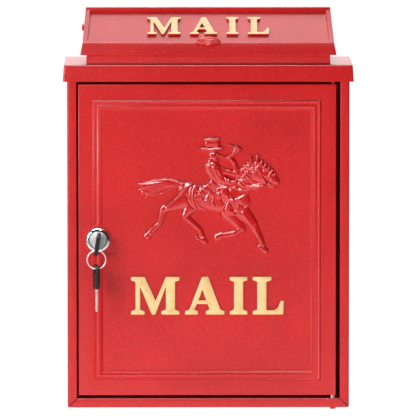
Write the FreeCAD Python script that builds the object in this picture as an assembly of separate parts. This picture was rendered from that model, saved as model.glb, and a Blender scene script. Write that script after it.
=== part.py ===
# Wall-mounted lockable post box, in millimetres.
#
# +X is to the right of a person who faces the door, +Y goes into the wall and +Z is up.
# The pieces are modelled with z = 0 at the underside of the body and y = 0 at the wall, and
# are moved down by WALL_HOLE_Z when they are written, so that the origin is at the centre of
# the wall-screw pattern.

import FreeCAD, Part
import math
import os

Vector = FreeCAD.Vector

# Cabinet
SHEET = 1.2                 # steel sheet thickness
BODY_HALF_WIDTH = 151.2
BODY_FRONT = -105.5         # front plane of the body and of the door
BODY_TOP = 369.0            # underside of the roof
FLANGE = 10.0               # width of the front flanges
LIP_DEPTH = 16.0            # how far the flanges' inner lips reach back
BEND = 2.0                  # outside radius of the folds
SEAM = 0.5                  # open mitre at the bottom corners
RAIL_BOTTOM = 352.8
RAIL_TOP = 365.0

# Roof
ROOF_TOP = BODY_TOP + SHEET
ROOF_HALF_WIDTH = 154.5
ROOF_FRONT = -110.0
FASCIA_BOTTOM = 352.1
FASCIA_FLARE = 1.0          # how much wider the fascia is at its lower edge

# Hopper collar on the roof
COLLAR_HALF_WIDTH = 130.4
COLLAR_FRONT = -105.3
COLLAR_FRONT_HEIGHT = 17.0
COLLAR_SIDE_HEIGHT = 40.0
COLLAR_BACK_HEIGHT = 50.0
COLLAR_FOOT = 8.0           # flange welded to the underside of the roof
COLLAR_HUB_R = 9.0          # rounding of the side walls about the flap's hinge

# Flap
FLAP_AXIS_Y = -27.5
FLAP_AXIS_Z = ROOF_TOP + 34.0
FLAP_WALL = 2.2
FLAP_PIN_R = 2.5
FLAP_PIN_HEAD_R = 3.8
FLAP_PIN_HEAD_SEAT = 134.1  # the left pin's head bears here, just outside the cheek
FLAP_PIN_HEAD_END = 136.2
FLAP_PIN_PLAIN_END = 133.2  # the right pin has no head and ends flush with the cheek
RUNNING_GAP = 0.05          # radial clearance of everything that turns
LIP_Y = -111.0              # the lip's lower edge
LIP_Z = ROOF_TOP + 10.4
SLOPE_Y = -107.5            # the slope starts here, at the top of the lip
SLOPE_Z = ROOF_TOP + 23.6
FLAP_HALF_WIDTH = 134.4     # at the top of the lip
LIP_FLARE = 0.2             # the lip widens this much per millimetre down
CHEEK_LEAN = 0.086          # the cheeks draw in this much per millimetre up
CREST_Y = -64.0             # the slope ends here, under the crest rib
CREST_Z = ROOF_TOP + 55.0
FLAP_TOP_Z = ROOF_TOP + 59.0
FLAP_BACK_R = 22.0          # the flap's rounded back is centred on its hinge
PANEL_RECESS = 3.0
PANEL_BORDER = 5.0
GRIP_HALF_WIDTH = 13.0
GRIP_RISE = 6.1             # above the top of the lip
GRIP_DROP = 3.0             # below the top of the lip
GRIP_REACH = 11.0           # from the grip's face back into the flap

# Door
DOOR_LEFT = -139.4
DOOR_RIGHT = 137.0
DOOR_BOTTOM = 13.4
DOOR_TOP = 349.0
DOOR_PLATE = 3.0
DOOR_RIM = 2.5
DOOR_DEPTH = 8.0
HINGE_X = 133.9
HINGE_Y = BODY_FRONT + 5.0
HINGE_PIN_R = 2.0
MOULDING_HALF_WIDTH = 122.6
MOULDING_X = -1.6
MOULDING_BOTTOM = 28.8
MOULDING_TOP = 332.2
BEAD_R = 1.7
BEAD_SPACING = 6.0          # between the two beads' middle lines
MOULDING_BAND = 0.5         # height of the flat band under the beads
LOCK_PAD_R = 15.0
BOSS_HEIGHT = 16.0          # pivot bosses in the door's hinge corners
BOSS_HALF_WIDTH = 5.0
BOSS_DEPTH = 4.0            # behind the hinge line
BORE_DEPTH = 12.2           # pivot bores
PIN_REACH = 12.0            # how far the pivot pins reach into the door

# Lock and keys
LOCK_X = -118.3
LOCK_Z = 182.0
LOCK_ROLL = 9.0             # the keyway leans this much from upright, in degrees
LOCK_BEZEL_R = 13.0
LOCK_FACE = BODY_FRONT - 8.0
LOCK_BACK = BODY_FRONT + 17.0
LOCK_BARREL_R = 9.0
PLUG_R = 6.0
PLUG_FACE_R = 9.0
CAM_REACH = 30.0
CAM_THICKNESS = 2.0
CAM_HALF_WIDTH = 6.0
CAM_HUB_R = 8.0
NUT_CORNER_R = 13.2
NUT_THICKNESS = 4.5
LOCK_WASHER_R = 12.5
LOCK_WASHER_THICKNESS = 1.0
CAM_WASHER_R = 5.5
CAM_WASHER_THICKNESS = 0.8
SCREW_R = 1.6
SCREW_REACH = 1.6           # into the plug's tail
SCREW_HEAD_R = 3.5
SCREW_HEAD_HEIGHT = 2.4
BLADE_LENGTH = 24.5
BLADE_HEIGHT = 7.0
BLADE_THICKNESS = 1.8
BOW_LENGTH = 26.0
BOW_HEIGHT = 24.0
BOW_DROP = 2.5              # the first key's bow sits this much below its blade's middle
BOW_CORNER_R = 5.0
SPARE_BOW_HEIGHT = 22.0
SPARE_BOW_CORNER_R = 6.0
BOW_THICKNESS = 4.4
BOW_RIM_R = 0.7
BOW_HOLE_R = 3.2
BOW_HOLE_LENGTH = 15.0
BOW_HOLE_INSET = 6.5        # from the bow's free end to the middle of its hole
RING_R = 9.9
RING_WIRE_R = 0.6
RING_SLACK = 1.3            # from the edge of a bow's hole to the middle of the wire in it
SPARE_YAW = 11.0

# Wall screws
WALL_HOLE_R = 3.25
WALL_HOLE_X = 100.0
WALL_HOLE_DZ = 130.0
WALL_HOLE_Z = 185.0

# Raised decoration
LETTER_DEPTH = 2.2
DOOR_LETTER_HEIGHT = 40.7
DOOR_LETTER_BASE = 101.2
FLAP_LETTER_HEIGHT = 28.0
FLAP_LETTER_DEPTH = 2.6
RELIEF_DEPTH = 3.0
RELIEF_X = 0.6
RELIEF_Z = 229.5

X_AXIS = Vector(1, 0, 0)
Y_AXIS = Vector(0, 1, 0)
Z_AXIS = Vector(0, 0, 1)


def box(x0, x1, y0, y1, z0, z1):
    return Part.makeBox(x1 - x0, y1 - y0, z1 - z0, Vector(x0, y0, z0))


def rod(radius, start, end):
    """A round bar from one point to another."""
    run = end - start
    return Part.makeCylinder(radius, run.Length, start, run)


def prism_x(points, x0, x1):
    """A (y, z) outline, extruded from x0 to x1."""
    corners = [Vector(x0, y, z) for y, z in points]
    return Part.Face(Part.makePolygon(corners + corners[:1])).extrude(Vector(x1 - x0, 0, 0))


def prism_y(points, y0, y1):
    """An (x, z) outline, extruded from y0 to y1."""
    corners = [Vector(x, y0, z) for x, z in points]
    return Part.Face(Part.makePolygon(corners + corners[:1])).extrude(Vector(0, y1 - y0, 0))


def edges_where(shape, test):
    return [edge for edge in shape.Edges if test(edge.BoundBox)]


def near(a, b):
    return abs(a - b) < 0.01


def fuse(shapes):
    return shapes[0].multiFuse(shapes[1:]).removeSplitter()


def body_wrap():
    """Bottom and sides folded from one sheet, with front flanges, lips and mitred corners."""
    w = BODY_HALF_WIDTH
    shell = box(-w, w, BODY_FRONT, 0, 0, BODY_TOP)
    front_or_bottom = edges_where(
        shell,
        lambda b: (near(b.YMax, BODY_FRONT) and (near(b.XMax, -w) or near(b.XMin, w) or near(b.ZMax, 0)))
        or (near(b.ZMax, 0) and (near(b.XMax, -w) or near(b.XMin, w))))
    shell = shell.makeFillet(BEND, front_or_bottom)
    shell = shell.cut(box(SHEET - w, w - SHEET, BODY_FRONT + SHEET, 1, SHEET, BODY_TOP + 1))
    opening = w - FLANGE
    shell = shell.cut(box(-opening, opening, BODY_FRONT - 1, BODY_FRONT + 2 * SHEET, FLANGE, BODY_TOP + 1))
    lip_back = BODY_FRONT + LIP_DEPTH
    lips = [
        box(-opening - SHEET, -opening, BODY_FRONT + SHEET / 2, lip_back, FLANGE + 2, RAIL_BOTTOM),
        box(opening, opening + SHEET, BODY_FRONT + SHEET / 2, lip_back, FLANGE + 2, RAIL_BOTTOM),
        box(-opening + 1, opening - 1, BODY_FRONT + SHEET / 2, lip_back, FLANGE - SHEET, FLANGE),
    ]
    shell = fuse([shell] + lips)
    for side in (-1, 1):
        inner = Vector(side * (opening - SEAM), BODY_FRONT - 1, FLANGE + SEAM)
        outer = Vector(side * (w - 0.3), BODY_FRONT - 1, 0.3)
        across = Vector(SEAM / 2, 0, side * SEAM / 2)
        corners = [inner - across, inner + across, outer + across, outer - across]
        slit = Part.Face(Part.makePolygon(corners + corners[:1])).extrude(Vector(0, 1 + SHEET, 0))
        shell = shell.cut(slit)
    pin_hole = rod(HINGE_PIN_R, Vector(HINGE_X, HINGE_Y, -1), Vector(HINGE_X, HINGE_Y, FLANGE + 1))
    return shell.cut(pin_hole)


def top_rail():
    """Angle behind the roof's fascia that closes the opening and holds the upper pivot."""
    half = BODY_HALF_WIDTH - SHEET
    front = BODY_FRONT + SHEET
    web = box(-half, half, front, front + SHEET, RAIL_BOTTOM, RAIL_TOP)
    lip = box(-half, half, front, BODY_FRONT + LIP_DEPTH, RAIL_BOTTOM, RAIL_BOTTOM + SHEET)
    top = Vector(HINGE_X, HINGE_Y, RAIL_BOTTOM + 5)
    return fuse([web, lip]).cut(rod(HINGE_PIN_R, Vector(HINGE_X, HINGE_Y, RAIL_BOTTOM - 1), top))


def back_panel():
    """Back sheet with welding flanges and four screw holes."""
    half = BODY_HALF_WIDTH - SHEET
    panel = box(-half, half, -SHEET, 0, SHEET, BODY_TOP)
    flange_front = -12.0
    pieces = [
        panel,
        box(-half, SHEET - half, flange_front, -SHEET, SHEET, BODY_TOP),
        box(half - SHEET, half, flange_front, -SHEET, SHEET, BODY_TOP),
        box(-half, half, flange_front, -SHEET, SHEET, 2 * SHEET),
    ]
    panel = fuse(pieces)
    for side in (-1, 1):
        for level in (WALL_HOLE_Z - WALL_HOLE_DZ, WALL_HOLE_Z + WALL_HOLE_DZ):
            x = side * WALL_HOLE_X
            panel = panel.cut(rod(WALL_HOLE_R, Vector(x, -5, level), Vector(x, 1, level)))
    return panel


def rounded_front(half_width, front, back, radius, z):
    """Rectangle at height z whose two front corners are rounded."""
    diagonal = radius * (1 - math.sqrt(0.5))
    a = Vector(-half_width, back, z)
    b = Vector(-half_width, front + radius, z)
    b_mid = Vector(diagonal - half_width, front + diagonal, z)
    c = Vector(radius - half_width, front, z)
    d = Vector(half_width - radius, front, z)
    d_mid = Vector(half_width - diagonal, front + diagonal, z)
    e = Vector(half_width, front + radius, z)
    f = Vector(half_width, back, z)
    edges = [
        Part.LineSegment(a, b).toShape(),
        Part.Arc(b, b_mid, c).toShape(),
        Part.LineSegment(c, d).toShape(),
        Part.Arc(d, d_mid, e).toShape(),
        Part.LineSegment(e, f).toShape(),
        Part.LineSegment(f, a).toShape(),
    ]
    return Part.Wire(edges)


def roof_cap():
    """Pan of sheet steel whose fascia hangs over the body, with the mail opening."""
    w = ROOF_HALF_WIDTH
    edge = 1.0
    low = FASCIA_BOTTOM
    wide = w + FASCIA_FLARE
    wide_front = ROOF_FRONT - FASCIA_FLARE / 2
    upper = rounded_front(w, ROOF_FRONT, 0, BEND, ROOF_TOP - edge)
    skirt = Part.makeLoft([upper, rounded_front(wide, wide_front, 0, BEND, low)], True, True)
    crown = Part.makeLoft(
        [upper,
         rounded_front(w - 0.3 * edge, ROOF_FRONT + 0.3 * edge, 0, BEND, ROOF_TOP - 0.3 * edge),
         rounded_front(w - edge, ROOF_FRONT + edge, 0, BEND, ROOF_TOP)], True, True)
    hollow = Part.makeLoft(
        [rounded_front(w - SHEET, ROOF_FRONT + SHEET, 0, BEND - SHEET, BODY_TOP),
         rounded_front(wide - SHEET, wide_front + SHEET, 0, BEND - SHEET, low)], True, True)
    inner = COLLAR_HALF_WIDTH - SHEET
    opening = box(-inner, inner, COLLAR_FRONT + SHEET, -SHEET, BODY_TOP - 1, ROOF_TOP + 1)
    return fuse([skirt, crown]).cut(hollow).cut(opening)


def collar_side_outline():
    """Side wall of the collar, as (y, z): low in front, raised and rounded around the hinge."""
    z = ROOF_TOP
    points = [
        (COLLAR_FRONT, BODY_TOP - SHEET),
        (COLLAR_FRONT, z + COLLAR_FRONT_HEIGHT),
        (COLLAR_FRONT + 25, z + COLLAR_SIDE_HEIGHT - 4),
        (COLLAR_FRONT + 34, z + COLLAR_SIDE_HEIGHT),
    ]
    for degrees in range(60, -61, -15):
        turn = math.radians(degrees)
        y = FLAP_AXIS_Y + COLLAR_HUB_R * math.cos(turn)
        points.append((y, FLAP_AXIS_Z + COLLAR_HUB_R * math.sin(turn)))
    points.append((FLAP_AXIS_Y + 12, z + 14))
    points.append((0, z + 11))
    points.append((0, BODY_TOP - SHEET))
    return points


def hopper_collar():
    """Open neck that guides letters through the roof, with a foot flange under the roof."""
    w = COLLAR_HALF_WIDTH
    z = ROOF_TOP
    bottom = BODY_TOP - SHEET
    side = prism_x(collar_side_outline(), w - SHEET, w)
    front = box(-w, w, COLLAR_FRONT, COLLAR_FRONT + SHEET, bottom, z + COLLAR_FRONT_HEIGHT)
    back = box(-w, w, -SHEET, 0, bottom, z + COLLAR_BACK_HEIGHT)
    neck = fuse([side, side.mirror(Vector(0, 0, 0), X_AXIS), front, back])
    neck = neck.cut(box(-w - 1, w + 1, COLLAR_FRONT - 1, 1, bottom - 1, z))
    inner_w = w - SHEET
    inner_front = COLLAR_FRONT + SHEET
    sleeve = box(-inner_w, inner_w, inner_front, -SHEET, bottom - SHEET, z + SHEET)
    sleeve = sleeve.cut(
        box(SHEET - inner_w, inner_w - SHEET, inner_front + SHEET, -2 * SHEET, 0, z + 2 * SHEET))
    foot = box(-w - COLLAR_FOOT, w + COLLAR_FOOT, BODY_FRONT + 3 * SHEET, -SHEET, bottom, BODY_TOP)
    foot = foot.cut(
        box(SHEET - inner_w, inner_w - SHEET, inner_front + SHEET, -2 * SHEET, 0, z + SHEET))
    pin_line = [Vector(x, FLAP_AXIS_Y, FLAP_AXIS_Z) for x in (-150, 150)]
    return fuse([neck, sleeve, foot]).cut(rod(FLAP_PIN_R, *pin_line))


def flap_slope():
    return math.atan2(CREST_Z - SLOPE_Z, CREST_Y - SLOPE_Y)


def on_flap_back(radius, degrees):
    """Point of the rounded back, by its angle above the horizontal behind the hinge."""
    turn = math.radians(degrees)
    return Vector(0, FLAP_AXIS_Y + radius * math.cos(turn), FLAP_AXIS_Z + radius * math.sin(turn))


def side_block(points, radius, low_degrees):
    """Block across the flap: a side outline that ends in the back's arc, from 90 degrees down."""
    start = on_flap_back(radius, low_degrees)
    end = on_flap_back(radius, 90)
    corners = [start] + [Vector(0, y, z) for y, z in points] + [end]
    edges = [Part.LineSegment(a, b).toShape() for a, b in zip(corners, corners[1:])]
    middle = on_flap_back(radius, (90 + low_degrees) / 2)
    edges.append(Part.Arc(end, middle, start).toShape())
    wire = Part.Wire(edges)
    wire.translate(Vector(-150, 0, 0))
    return Part.Face(wire).extrude(Vector(300, 0, 0))


def flap_half_width(z):
    rate = LIP_FLARE if z < SLOPE_Z else CHEEK_LEAN
    return FLAP_HALF_WIDTH + (SLOPE_Z - z) * rate


def between_cheeks(inset, low, high):
    """Everything between the leaning cheeks and the flared lip, from one height to another."""
    right = [(flap_half_width(z) - inset, z) for z in (low, SLOPE_Z, high)]
    left = [(-x, z) for x, z in reversed(right)]
    return prism_y(right + left, -130.0, 10.0)


def flap_solid():
    """The flap's outer shape, not yet hollow."""
    points = [(LIP_Y, LIP_Z), (SLOPE_Y, SLOPE_Z), (CREST_Y, CREST_Z), (CREST_Y, FLAP_TOP_Z)]
    return side_block(points, FLAP_BACK_R, -60).common(between_cheeks(0, LIP_Z - 10, FLAP_TOP_Z + 1))


def flap_hollow():
    """The space under the flap, open below."""
    wall = FLAP_WALL
    slope = flap_slope()
    lip_run = (SLOPE_Y - LIP_Y) / (SLOPE_Z - LIP_Z)
    below = LIP_Z - 6
    depth = (wall + PANEL_RECESS) / math.cos(slope)
    top = FLAP_TOP_Z - wall
    front = SLOPE_Y + wall
    front_z = SLOPE_Z + (front - SLOPE_Y) * math.tan(slope) - depth
    points = [
        (LIP_Y + wall - (LIP_Z - below) * lip_run, below),
        (front - (SLOPE_Z - front_z) * lip_run, front_z),
        (SLOPE_Y + (top - SLOPE_Z + depth) / math.tan(slope), top),
    ]
    return side_block(points, FLAP_BACK_R - wall, -90).common(between_cheeks(wall, below, top + 1))


def slope_frame():
    """Placement on the flap's slope: x to the right, y up the slope, z outwards."""
    turn = FreeCAD.Rotation(X_AXIS, math.degrees(flap_slope()))
    return FreeCAD.Placement(Vector(0, SLOPE_Y, SLOPE_Z), turn)


def slope_length():
    return math.hypot(CREST_Y - SLOPE_Y, CREST_Z - SLOPE_Z)


def flap_recess():
    """The framed recess in the slope, a little narrower towards the crest."""
    low_half = flap_half_width(SLOPE_Z) - PANEL_BORDER
    high_half = flap_half_width(CREST_Z) - PANEL_BORDER
    corners = [
        Vector(-low_half, PANEL_BORDER, 0),
        Vector(low_half, PANEL_BORDER, 0),
        Vector(high_half, slope_length() - 0.5, 0),
        Vector(-high_half, slope_length() - 0.5, 0),
    ]
    recess = Part.Face(Part.makePolygon(corners + corners[:1])).extrude(Vector(0, 0, 12))
    recess.translate(Vector(0, 0, -PANEL_RECESS))
    recess.Placement = slope_frame().multiply(recess.Placement)
    return recess.common(box(-200, 200, -200, CREST_Y - 0.2, 0, 600))


def flap_grip():
    """Half-round lug at the top of the lip that a finger lifts."""
    ellipse = Part.Ellipse(Vector(0, 0, 0), GRIP_HALF_WIDTH, GRIP_RISE)
    face = Part.Face(Part.Wire(ellipse.toShape()))
    lug = face.extrude(Vector(0, 0, GRIP_REACH))
    lug = lug.common(box(-20, 20, -GRIP_DROP, 20, -1, 20))
    lug.rotate(Vector(0, 0, 0), X_AXIS, -90)
    lug = lug.mirror(Vector(0, 0, 0), Z_AXIS)
    lug.translate(Vector(0, SLOPE_Y - 1.6, SLOPE_Z))
    return lug


def flap_hood():
    """Cast hood: lip, framed recess, crest, cheeks and a back rounded about the hinge."""
    hood = flap_solid().cut(flap_hollow())
    far = 60.0
    under_back = prism_x(
        [(FLAP_AXIS_Y, FLAP_AXIS_Z), (FLAP_AXIS_Y + far, FLAP_AXIS_Z + far * math.tan(math.radians(30))),
         (FLAP_AXIS_Y + far, LIP_Z - 20), (FLAP_AXIS_Y, LIP_Z - 20)], -150.0, 150.0)
    hood = hood.cut(under_back.common(between_cheeks(FLAP_WALL, LIP_Z - 20, FLAP_TOP_Z)))
    hood = hood.cut(flap_recess())
    hood = hood.fuse(flap_grip().cut(flap_hollow())).removeSplitter()
    bore = FLAP_PIN_R + RUNNING_GAP
    return hood.cut(rod(bore, Vector(-150, FLAP_AXIS_Y, FLAP_AXIS_Z), Vector(150, FLAP_AXIS_Y, FLAP_AXIS_Z)))


def flap_pins():
    """Pivot pins, fixed in the collar's side walls: the left one has a head, the right one ends flush."""
    tail = COLLAR_HALF_WIDTH - SHEET - 3.0

    def at(x):
        return Vector(x, FLAP_AXIS_Y, FLAP_AXIS_Z)

    head = rod(FLAP_PIN_HEAD_R, at(-FLAP_PIN_HEAD_SEAT), at(-FLAP_PIN_HEAD_END))
    head = head.makeFillet(1.2, edges_where(head, lambda b: near(b.XMax, -FLAP_PIN_HEAD_END)))
    headed = fuse([head, rod(FLAP_PIN_R, at(-tail), at(-FLAP_PIN_HEAD_SEAT))])
    plain = rod(FLAP_PIN_R, at(tail), at(FLAP_PIN_PLAIN_END))
    return Part.makeCompound([headed, plain])


def flap_pin_clips():
    """Push-on washers that hold the pins inside the collar."""
    clips = []
    for side in (-1, 1):
        outer = Vector(side * (COLLAR_HALF_WIDTH - SHEET), FLAP_AXIS_Y, FLAP_AXIS_Z)
        inner = outer - Vector(side * 1.0, 0, 0)
        clips.append(rod(5.0, outer, inner).cut(rod(FLAP_PIN_R, outer, inner)))
    return Part.makeCompound(clips)


def mitred_bar(length, at_middle, turn_degrees):
    """One side of the moulding: two half-round beads on a flat band, with mitred ends.

    The bar is made along X with its outer edge at z = 0 and its inner edge below, then turned
    about Y and moved so that its outer edge's middle is at at_middle.
    """
    half = length / 2
    band = BEAD_SPACING + 2 * BEAD_R
    bar = box(-half, half, -MOULDING_BAND, 0.0, -band, 0)
    for level in (-BEAD_R, -BEAD_R - BEAD_SPACING):
        bar = bar.fuse(rod(BEAD_R, Vector(-half, 0, level), Vector(half, 0, level)))
    wedge = [(-half, 0), (half, 0), (half - band, -band), (band - half, -band)]
    bar = bar.common(prism_y(wedge, -2 * BEAD_R, 0))
    bar.rotate(Vector(0, 0, 0), Y_AXIS, turn_degrees)
    bar.translate(at_middle)
    return bar


def door_moulding():
    left = MOULDING_X - MOULDING_HALF_WIDTH
    right = MOULDING_X + MOULDING_HALF_WIDTH
    middle = (MOULDING_BOTTOM + MOULDING_TOP) / 2
    width = right - left
    height = MOULDING_TOP - MOULDING_BOTTOM
    bars = [
        mitred_bar(width, Vector(MOULDING_X, BODY_FRONT, MOULDING_TOP), 0),
        mitred_bar(height, Vector(right, BODY_FRONT, middle), 90),
        mitred_bar(width, Vector(MOULDING_X, BODY_FRONT, MOULDING_BOTTOM), 180),
        mitred_bar(height, Vector(left, BODY_FRONT, middle), 270),
    ]
    pad = rod(LOCK_PAD_R, Vector(LOCK_X, BODY_FRONT - 5, LOCK_Z), Vector(LOCK_X, BODY_FRONT + 1, LOCK_Z))
    return [bar.cut(pad) for bar in bars]


def on_hinge(z):
    return Vector(HINGE_X, HINGE_Y, z)


def door_panel():
    """Cast door: plate with a rim behind, the raised moulding and two pivot bosses."""
    back = BODY_FRONT + DOOR_DEPTH
    slab = box(DOOR_LEFT, DOOR_RIGHT, BODY_FRONT, back, DOOR_BOTTOM, DOOR_TOP)
    slab = slab.makeFillet(0.8, edges_where(slab, lambda b: near(b.YMax, BODY_FRONT)))
    hollow = box(DOOR_LEFT + DOOR_RIM, DOOR_RIGHT - DOOR_RIM, BODY_FRONT + DOOR_PLATE, back + 1,
                 DOOR_BOTTOM + DOOR_RIM, DOOR_TOP - DOOR_RIM)
    panel = slab.cut(hollow)
    for low in (DOOR_BOTTOM, DOOR_TOP - BOSS_HEIGHT):
        boss = box(HINGE_X - BOSS_HALF_WIDTH, DOOR_RIGHT, BODY_FRONT + DOOR_PLATE, HINGE_Y + BOSS_DEPTH,
                   low, low + BOSS_HEIGHT)
        panel = panel.fuse(boss)
    bore = HINGE_PIN_R + RUNNING_GAP
    low_bore = rod(bore, on_hinge(DOOR_BOTTOM - 1), on_hinge(DOOR_BOTTOM + BORE_DEPTH))
    top_bore = rod(bore, on_hinge(DOOR_TOP - BORE_DEPTH), on_hinge(DOOR_TOP + 1))
    lock_hole = rod(LOCK_BARREL_R, Vector(LOCK_X, BODY_FRONT - 5, LOCK_Z), Vector(LOCK_X, back + 5, LOCK_Z))
    panel = fuse([panel] + door_moulding())
    return panel.cut(low_bore).cut(top_bore).cut(lock_hole)


def door_pin_top():
    """Upper pivot: dropped through the top rail into the door, with a head on the rail."""
    seat = on_hinge(RAIL_BOTTOM + SHEET)
    head = rod(2.55, seat, seat + Z_AXIS * 2.5)
    return fuse([rod(HINGE_PIN_R, on_hinge(DOOR_TOP - PIN_REACH), seat), head])


def door_pin_bottom():
    """Lower pivot: fixed in the body's bottom, its domed end just below it."""
    dome_height = 2.0
    dome = rod(3.2, on_hinge(-dome_height), on_hinge(0))
    dome = dome.makeFillet(1.2, edges_where(dome, lambda b: near(b.ZMax, -dome_height)))
    return fuse([rod(HINGE_PIN_R, on_hinge(-dome_height / 2), on_hinge(DOOR_BOTTOM + PIN_REACH)), dome])


def door_spacer():
    """Steel sleeve on the lower pivot that the door stands on."""
    low = on_hinge(FLANGE)
    high = on_hinge(DOOR_BOTTOM)
    return rod(3.1, low, high).cut(rod(HINGE_PIN_R, low, high))


# Bold letters with slab serifs, as (x, z) outlines in hundredths of the capital height.
LETTER_OUTLINES = {
    "M": [[(0, 0), (36, 0), (36, 9), (24, 13), (24, 74), (55, 0), (64, 0), (92, 74), (92, 13), (80, 9),
           (80, 0), (128, 0), (128, 9), (116, 13), (116, 87), (128, 91), (128, 100), (92, 100), (65, 36),
           (36, 100), (0, 100), (0, 91), (12, 87), (12, 13), (0, 9)]],
    "A": [[(0, 0), (34, 0), (34, 9), (25, 13), (31, 28), (60, 28), (65, 13), (55, 9), (55, 0), (104, 0),
           (104, 9), (93, 13), (61, 100), (45, 100), (12, 13), (0, 9)],
          [(36, 38), (56, 38), (46, 66)]],
    "I": [[(0, 0), (46, 0), (46, 9), (35, 13), (35, 87), (46, 91), (46, 100), (0, 100), (0, 91), (11, 87),
           (11, 13), (0, 9)]],
    "L": [[(0, 0), (80, 0), (82, 36), (74, 36), (67, 18), (57, 11), (36, 11), (36, 87), (49, 91), (49, 100),
           (0, 100), (0, 91), (12, 87), (12, 13), (0, 9)]],
}
WORD = "MAIL"


def letter_width(letter):
    return max(x for x, z in LETTER_OUTLINES[letter][0]) / 100.0


def word_solids(height, word_width, depth):
    """The word's letters standing on the plane z = 0, centred on x = 0, baseline on y = 0."""
    letters_width = sum(letter_width(letter) for letter in WORD) * height
    gap = (word_width - letters_width) / (len(WORD) - 1)
    start = -word_width / 2
    solids = []
    for letter in WORD:
        scale = height / 100.0
        faces = []
        for outline in LETTER_OUTLINES[letter]:
            corners = [Vector(start + x * scale, y * scale, 0) for x, y in outline]
            faces.append(Part.Face(Part.makePolygon(corners + corners[:1])))
        face = faces[0]
        for counter in faces[1:]:
            face = face.cut(counter)
        solids.append(face.extrude(Vector(0, 0, depth)).Solids[0])
        start += letter_width(letter) * height + gap
    return Part.makeCompound(solids)


def door_letters():
    word = word_solids(DOOR_LETTER_HEIGHT, 164.0, LETTER_DEPTH)
    word.rotate(Vector(0, 0, 0), X_AXIS, 90)
    word.translate(Vector(-1.0, BODY_FRONT, DOOR_LETTER_BASE))
    return word


def flap_letters():
    word = word_solids(FLAP_LETTER_HEIGHT, 130.5, FLAP_LETTER_DEPTH)
    word.translate(Vector(0, 15.0, -PANEL_RECESS))
    word.Placement = slope_frame().multiply(word.Placement)
    return word


# The relief's limbs: (x, z, radius) at one end and at the other, from the relief's middle.
HORSE_LIMBS = [
    ((-21, 0, 13), (30, -8, 11)),        # trunk
    ((32, -2, 10), (48, 25, 7)),         # neck
    ((49, 27, 6), (68, 13, 4)),          # head
    ((-26, 13, 3), (-48, 14, 4)),        # tail
    ((-48, 14, 5), (-71, 9, 4)),
    ((-28, -4, 9), (-48, -16, 4)),       # hind legs
    ((-48, -16, 4), (-54, -32, 2.6)),
    ((-54, -32, 2.6), (-66, -43, 3.4)),
    ((-20, -10, 8), (-26, -24, 3.4)),
    ((-26, -24, 3.4), (-10, -38, 2.4)),
    ((-10, -38, 2.4), (-8, -48, 3.2)),
    ((26, -18, 6), (33, -36, 3)),        # front legs
    ((33, -36, 3), (12, -46, 3.2)),
    ((32, -18, 7), (46, -35, 4)),
    ((46, -35, 4), (58, -58, 3)),
]
RIDER_LIMBS = [
    ((3, 46, 4.6), (5, 43, 4.4)),        # head
    ((-1, 56, 3.2), (9, 56, 3.2)),       # hat
    ((-4, 51, 2.4), (10, 52, 2.4)),
    ((7, 34, 6), (15, 12, 8)),           # back and waist
    ((10, 32, 4), (24, 20, 3)),          # near arm
    ((24, 20, 3), (31, 36, 2)),
    ((31, 36, 2), (22, 41, 2)),          # raised hand
    ((13, 41, 1.6), (24, 42, 1.6)),      # horn
    ((24, 42, 1.8), (29, 50, 4)),
    ((15, 8, 7), (24, -8, 5)),           # leg and boot
    ((24, -8, 5), (18, -19, 3.4)),
    ((-10, 2, 7), (4, -8, 7)),           # saddle cloth
]


def limb_face(first, second):
    """Outline of a tapering limb: two circles and the tangents between them."""
    x0, z0, r0 = first
    x1, z1, r1 = second
    run = math.hypot(x1 - x0, z1 - z0)
    heading = math.atan2(z1 - z0, x1 - x0)
    lean = math.acos((r0 - r1) / run)

    def on_circle(x, z, radius, angle):
        return Vector(x + radius * math.cos(angle), 0, z + radius * math.sin(angle))

    left = heading + lean
    right = heading - lean
    start_left = on_circle(x0, z0, r0, left)
    start_right = on_circle(x0, z0, r0, right)
    end_left = on_circle(x1, z1, r1, left)
    end_right = on_circle(x1, z1, r1, right)
    edges = [
        Part.LineSegment(start_right, end_right).toShape(),
        Part.Arc(end_right, on_circle(x1, z1, r1, heading), end_left).toShape(),
        Part.LineSegment(end_left, start_left).toShape(),
        Part.Arc(start_left, on_circle(x0, z0, r0, heading + math.pi), start_right).toShape(),
    ]
    return Part.Face(Part.Wire(edges))


def rider_relief():
    """Galloping horse with a horn-blowing rider, as one raised plate with rounded limbs."""
    limbs = []
    for first, second in HORSE_LIMBS + RIDER_LIMBS:
        limbs.append(limb_face(first, second).extrude(Vector(0, -RELIEF_DEPTH, 0)))
    relief = fuse(limbs)
    relief.translate(Vector(RELIEF_X, BODY_FRONT, RELIEF_Z))
    return relief


def about_lock_axis(profile):
    """Turn (radius, y) points about the lock's axis into a solid."""
    corners = [Vector(LOCK_X + radius, y, LOCK_Z) for radius, y in profile]
    face = Part.Face(Part.makePolygon(corners + corners[:1]))
    return face.revolve(Vector(LOCK_X, 0, LOCK_Z), Y_AXIS, 360)


def lock_housing():
    """Chrome bezel and barrel with a stepped bore for the plug."""
    bore = PLUG_R + RUNNING_GAP
    face_bore = PLUG_FACE_R + RUNNING_GAP
    front = BODY_FRONT
    outer = [
        (face_bore, LOCK_FACE + 0.4),
        (LOCK_BEZEL_R - 2.6, LOCK_FACE + 0.2),
        (LOCK_BEZEL_R - 1.2, LOCK_FACE + 1.0),
        (LOCK_BEZEL_R - 0.3, LOCK_FACE + 2.6),
        (LOCK_BEZEL_R, LOCK_FACE + 4.5),
        (LOCK_BEZEL_R, front),
        (LOCK_BARREL_R, front),
        (LOCK_BARREL_R, LOCK_BACK),
        (bore, LOCK_BACK),
        (bore, LOCK_FACE + 2.2),
        (face_bore, LOCK_FACE + 2.2),
    ]
    return about_lock_axis(outer)


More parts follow.
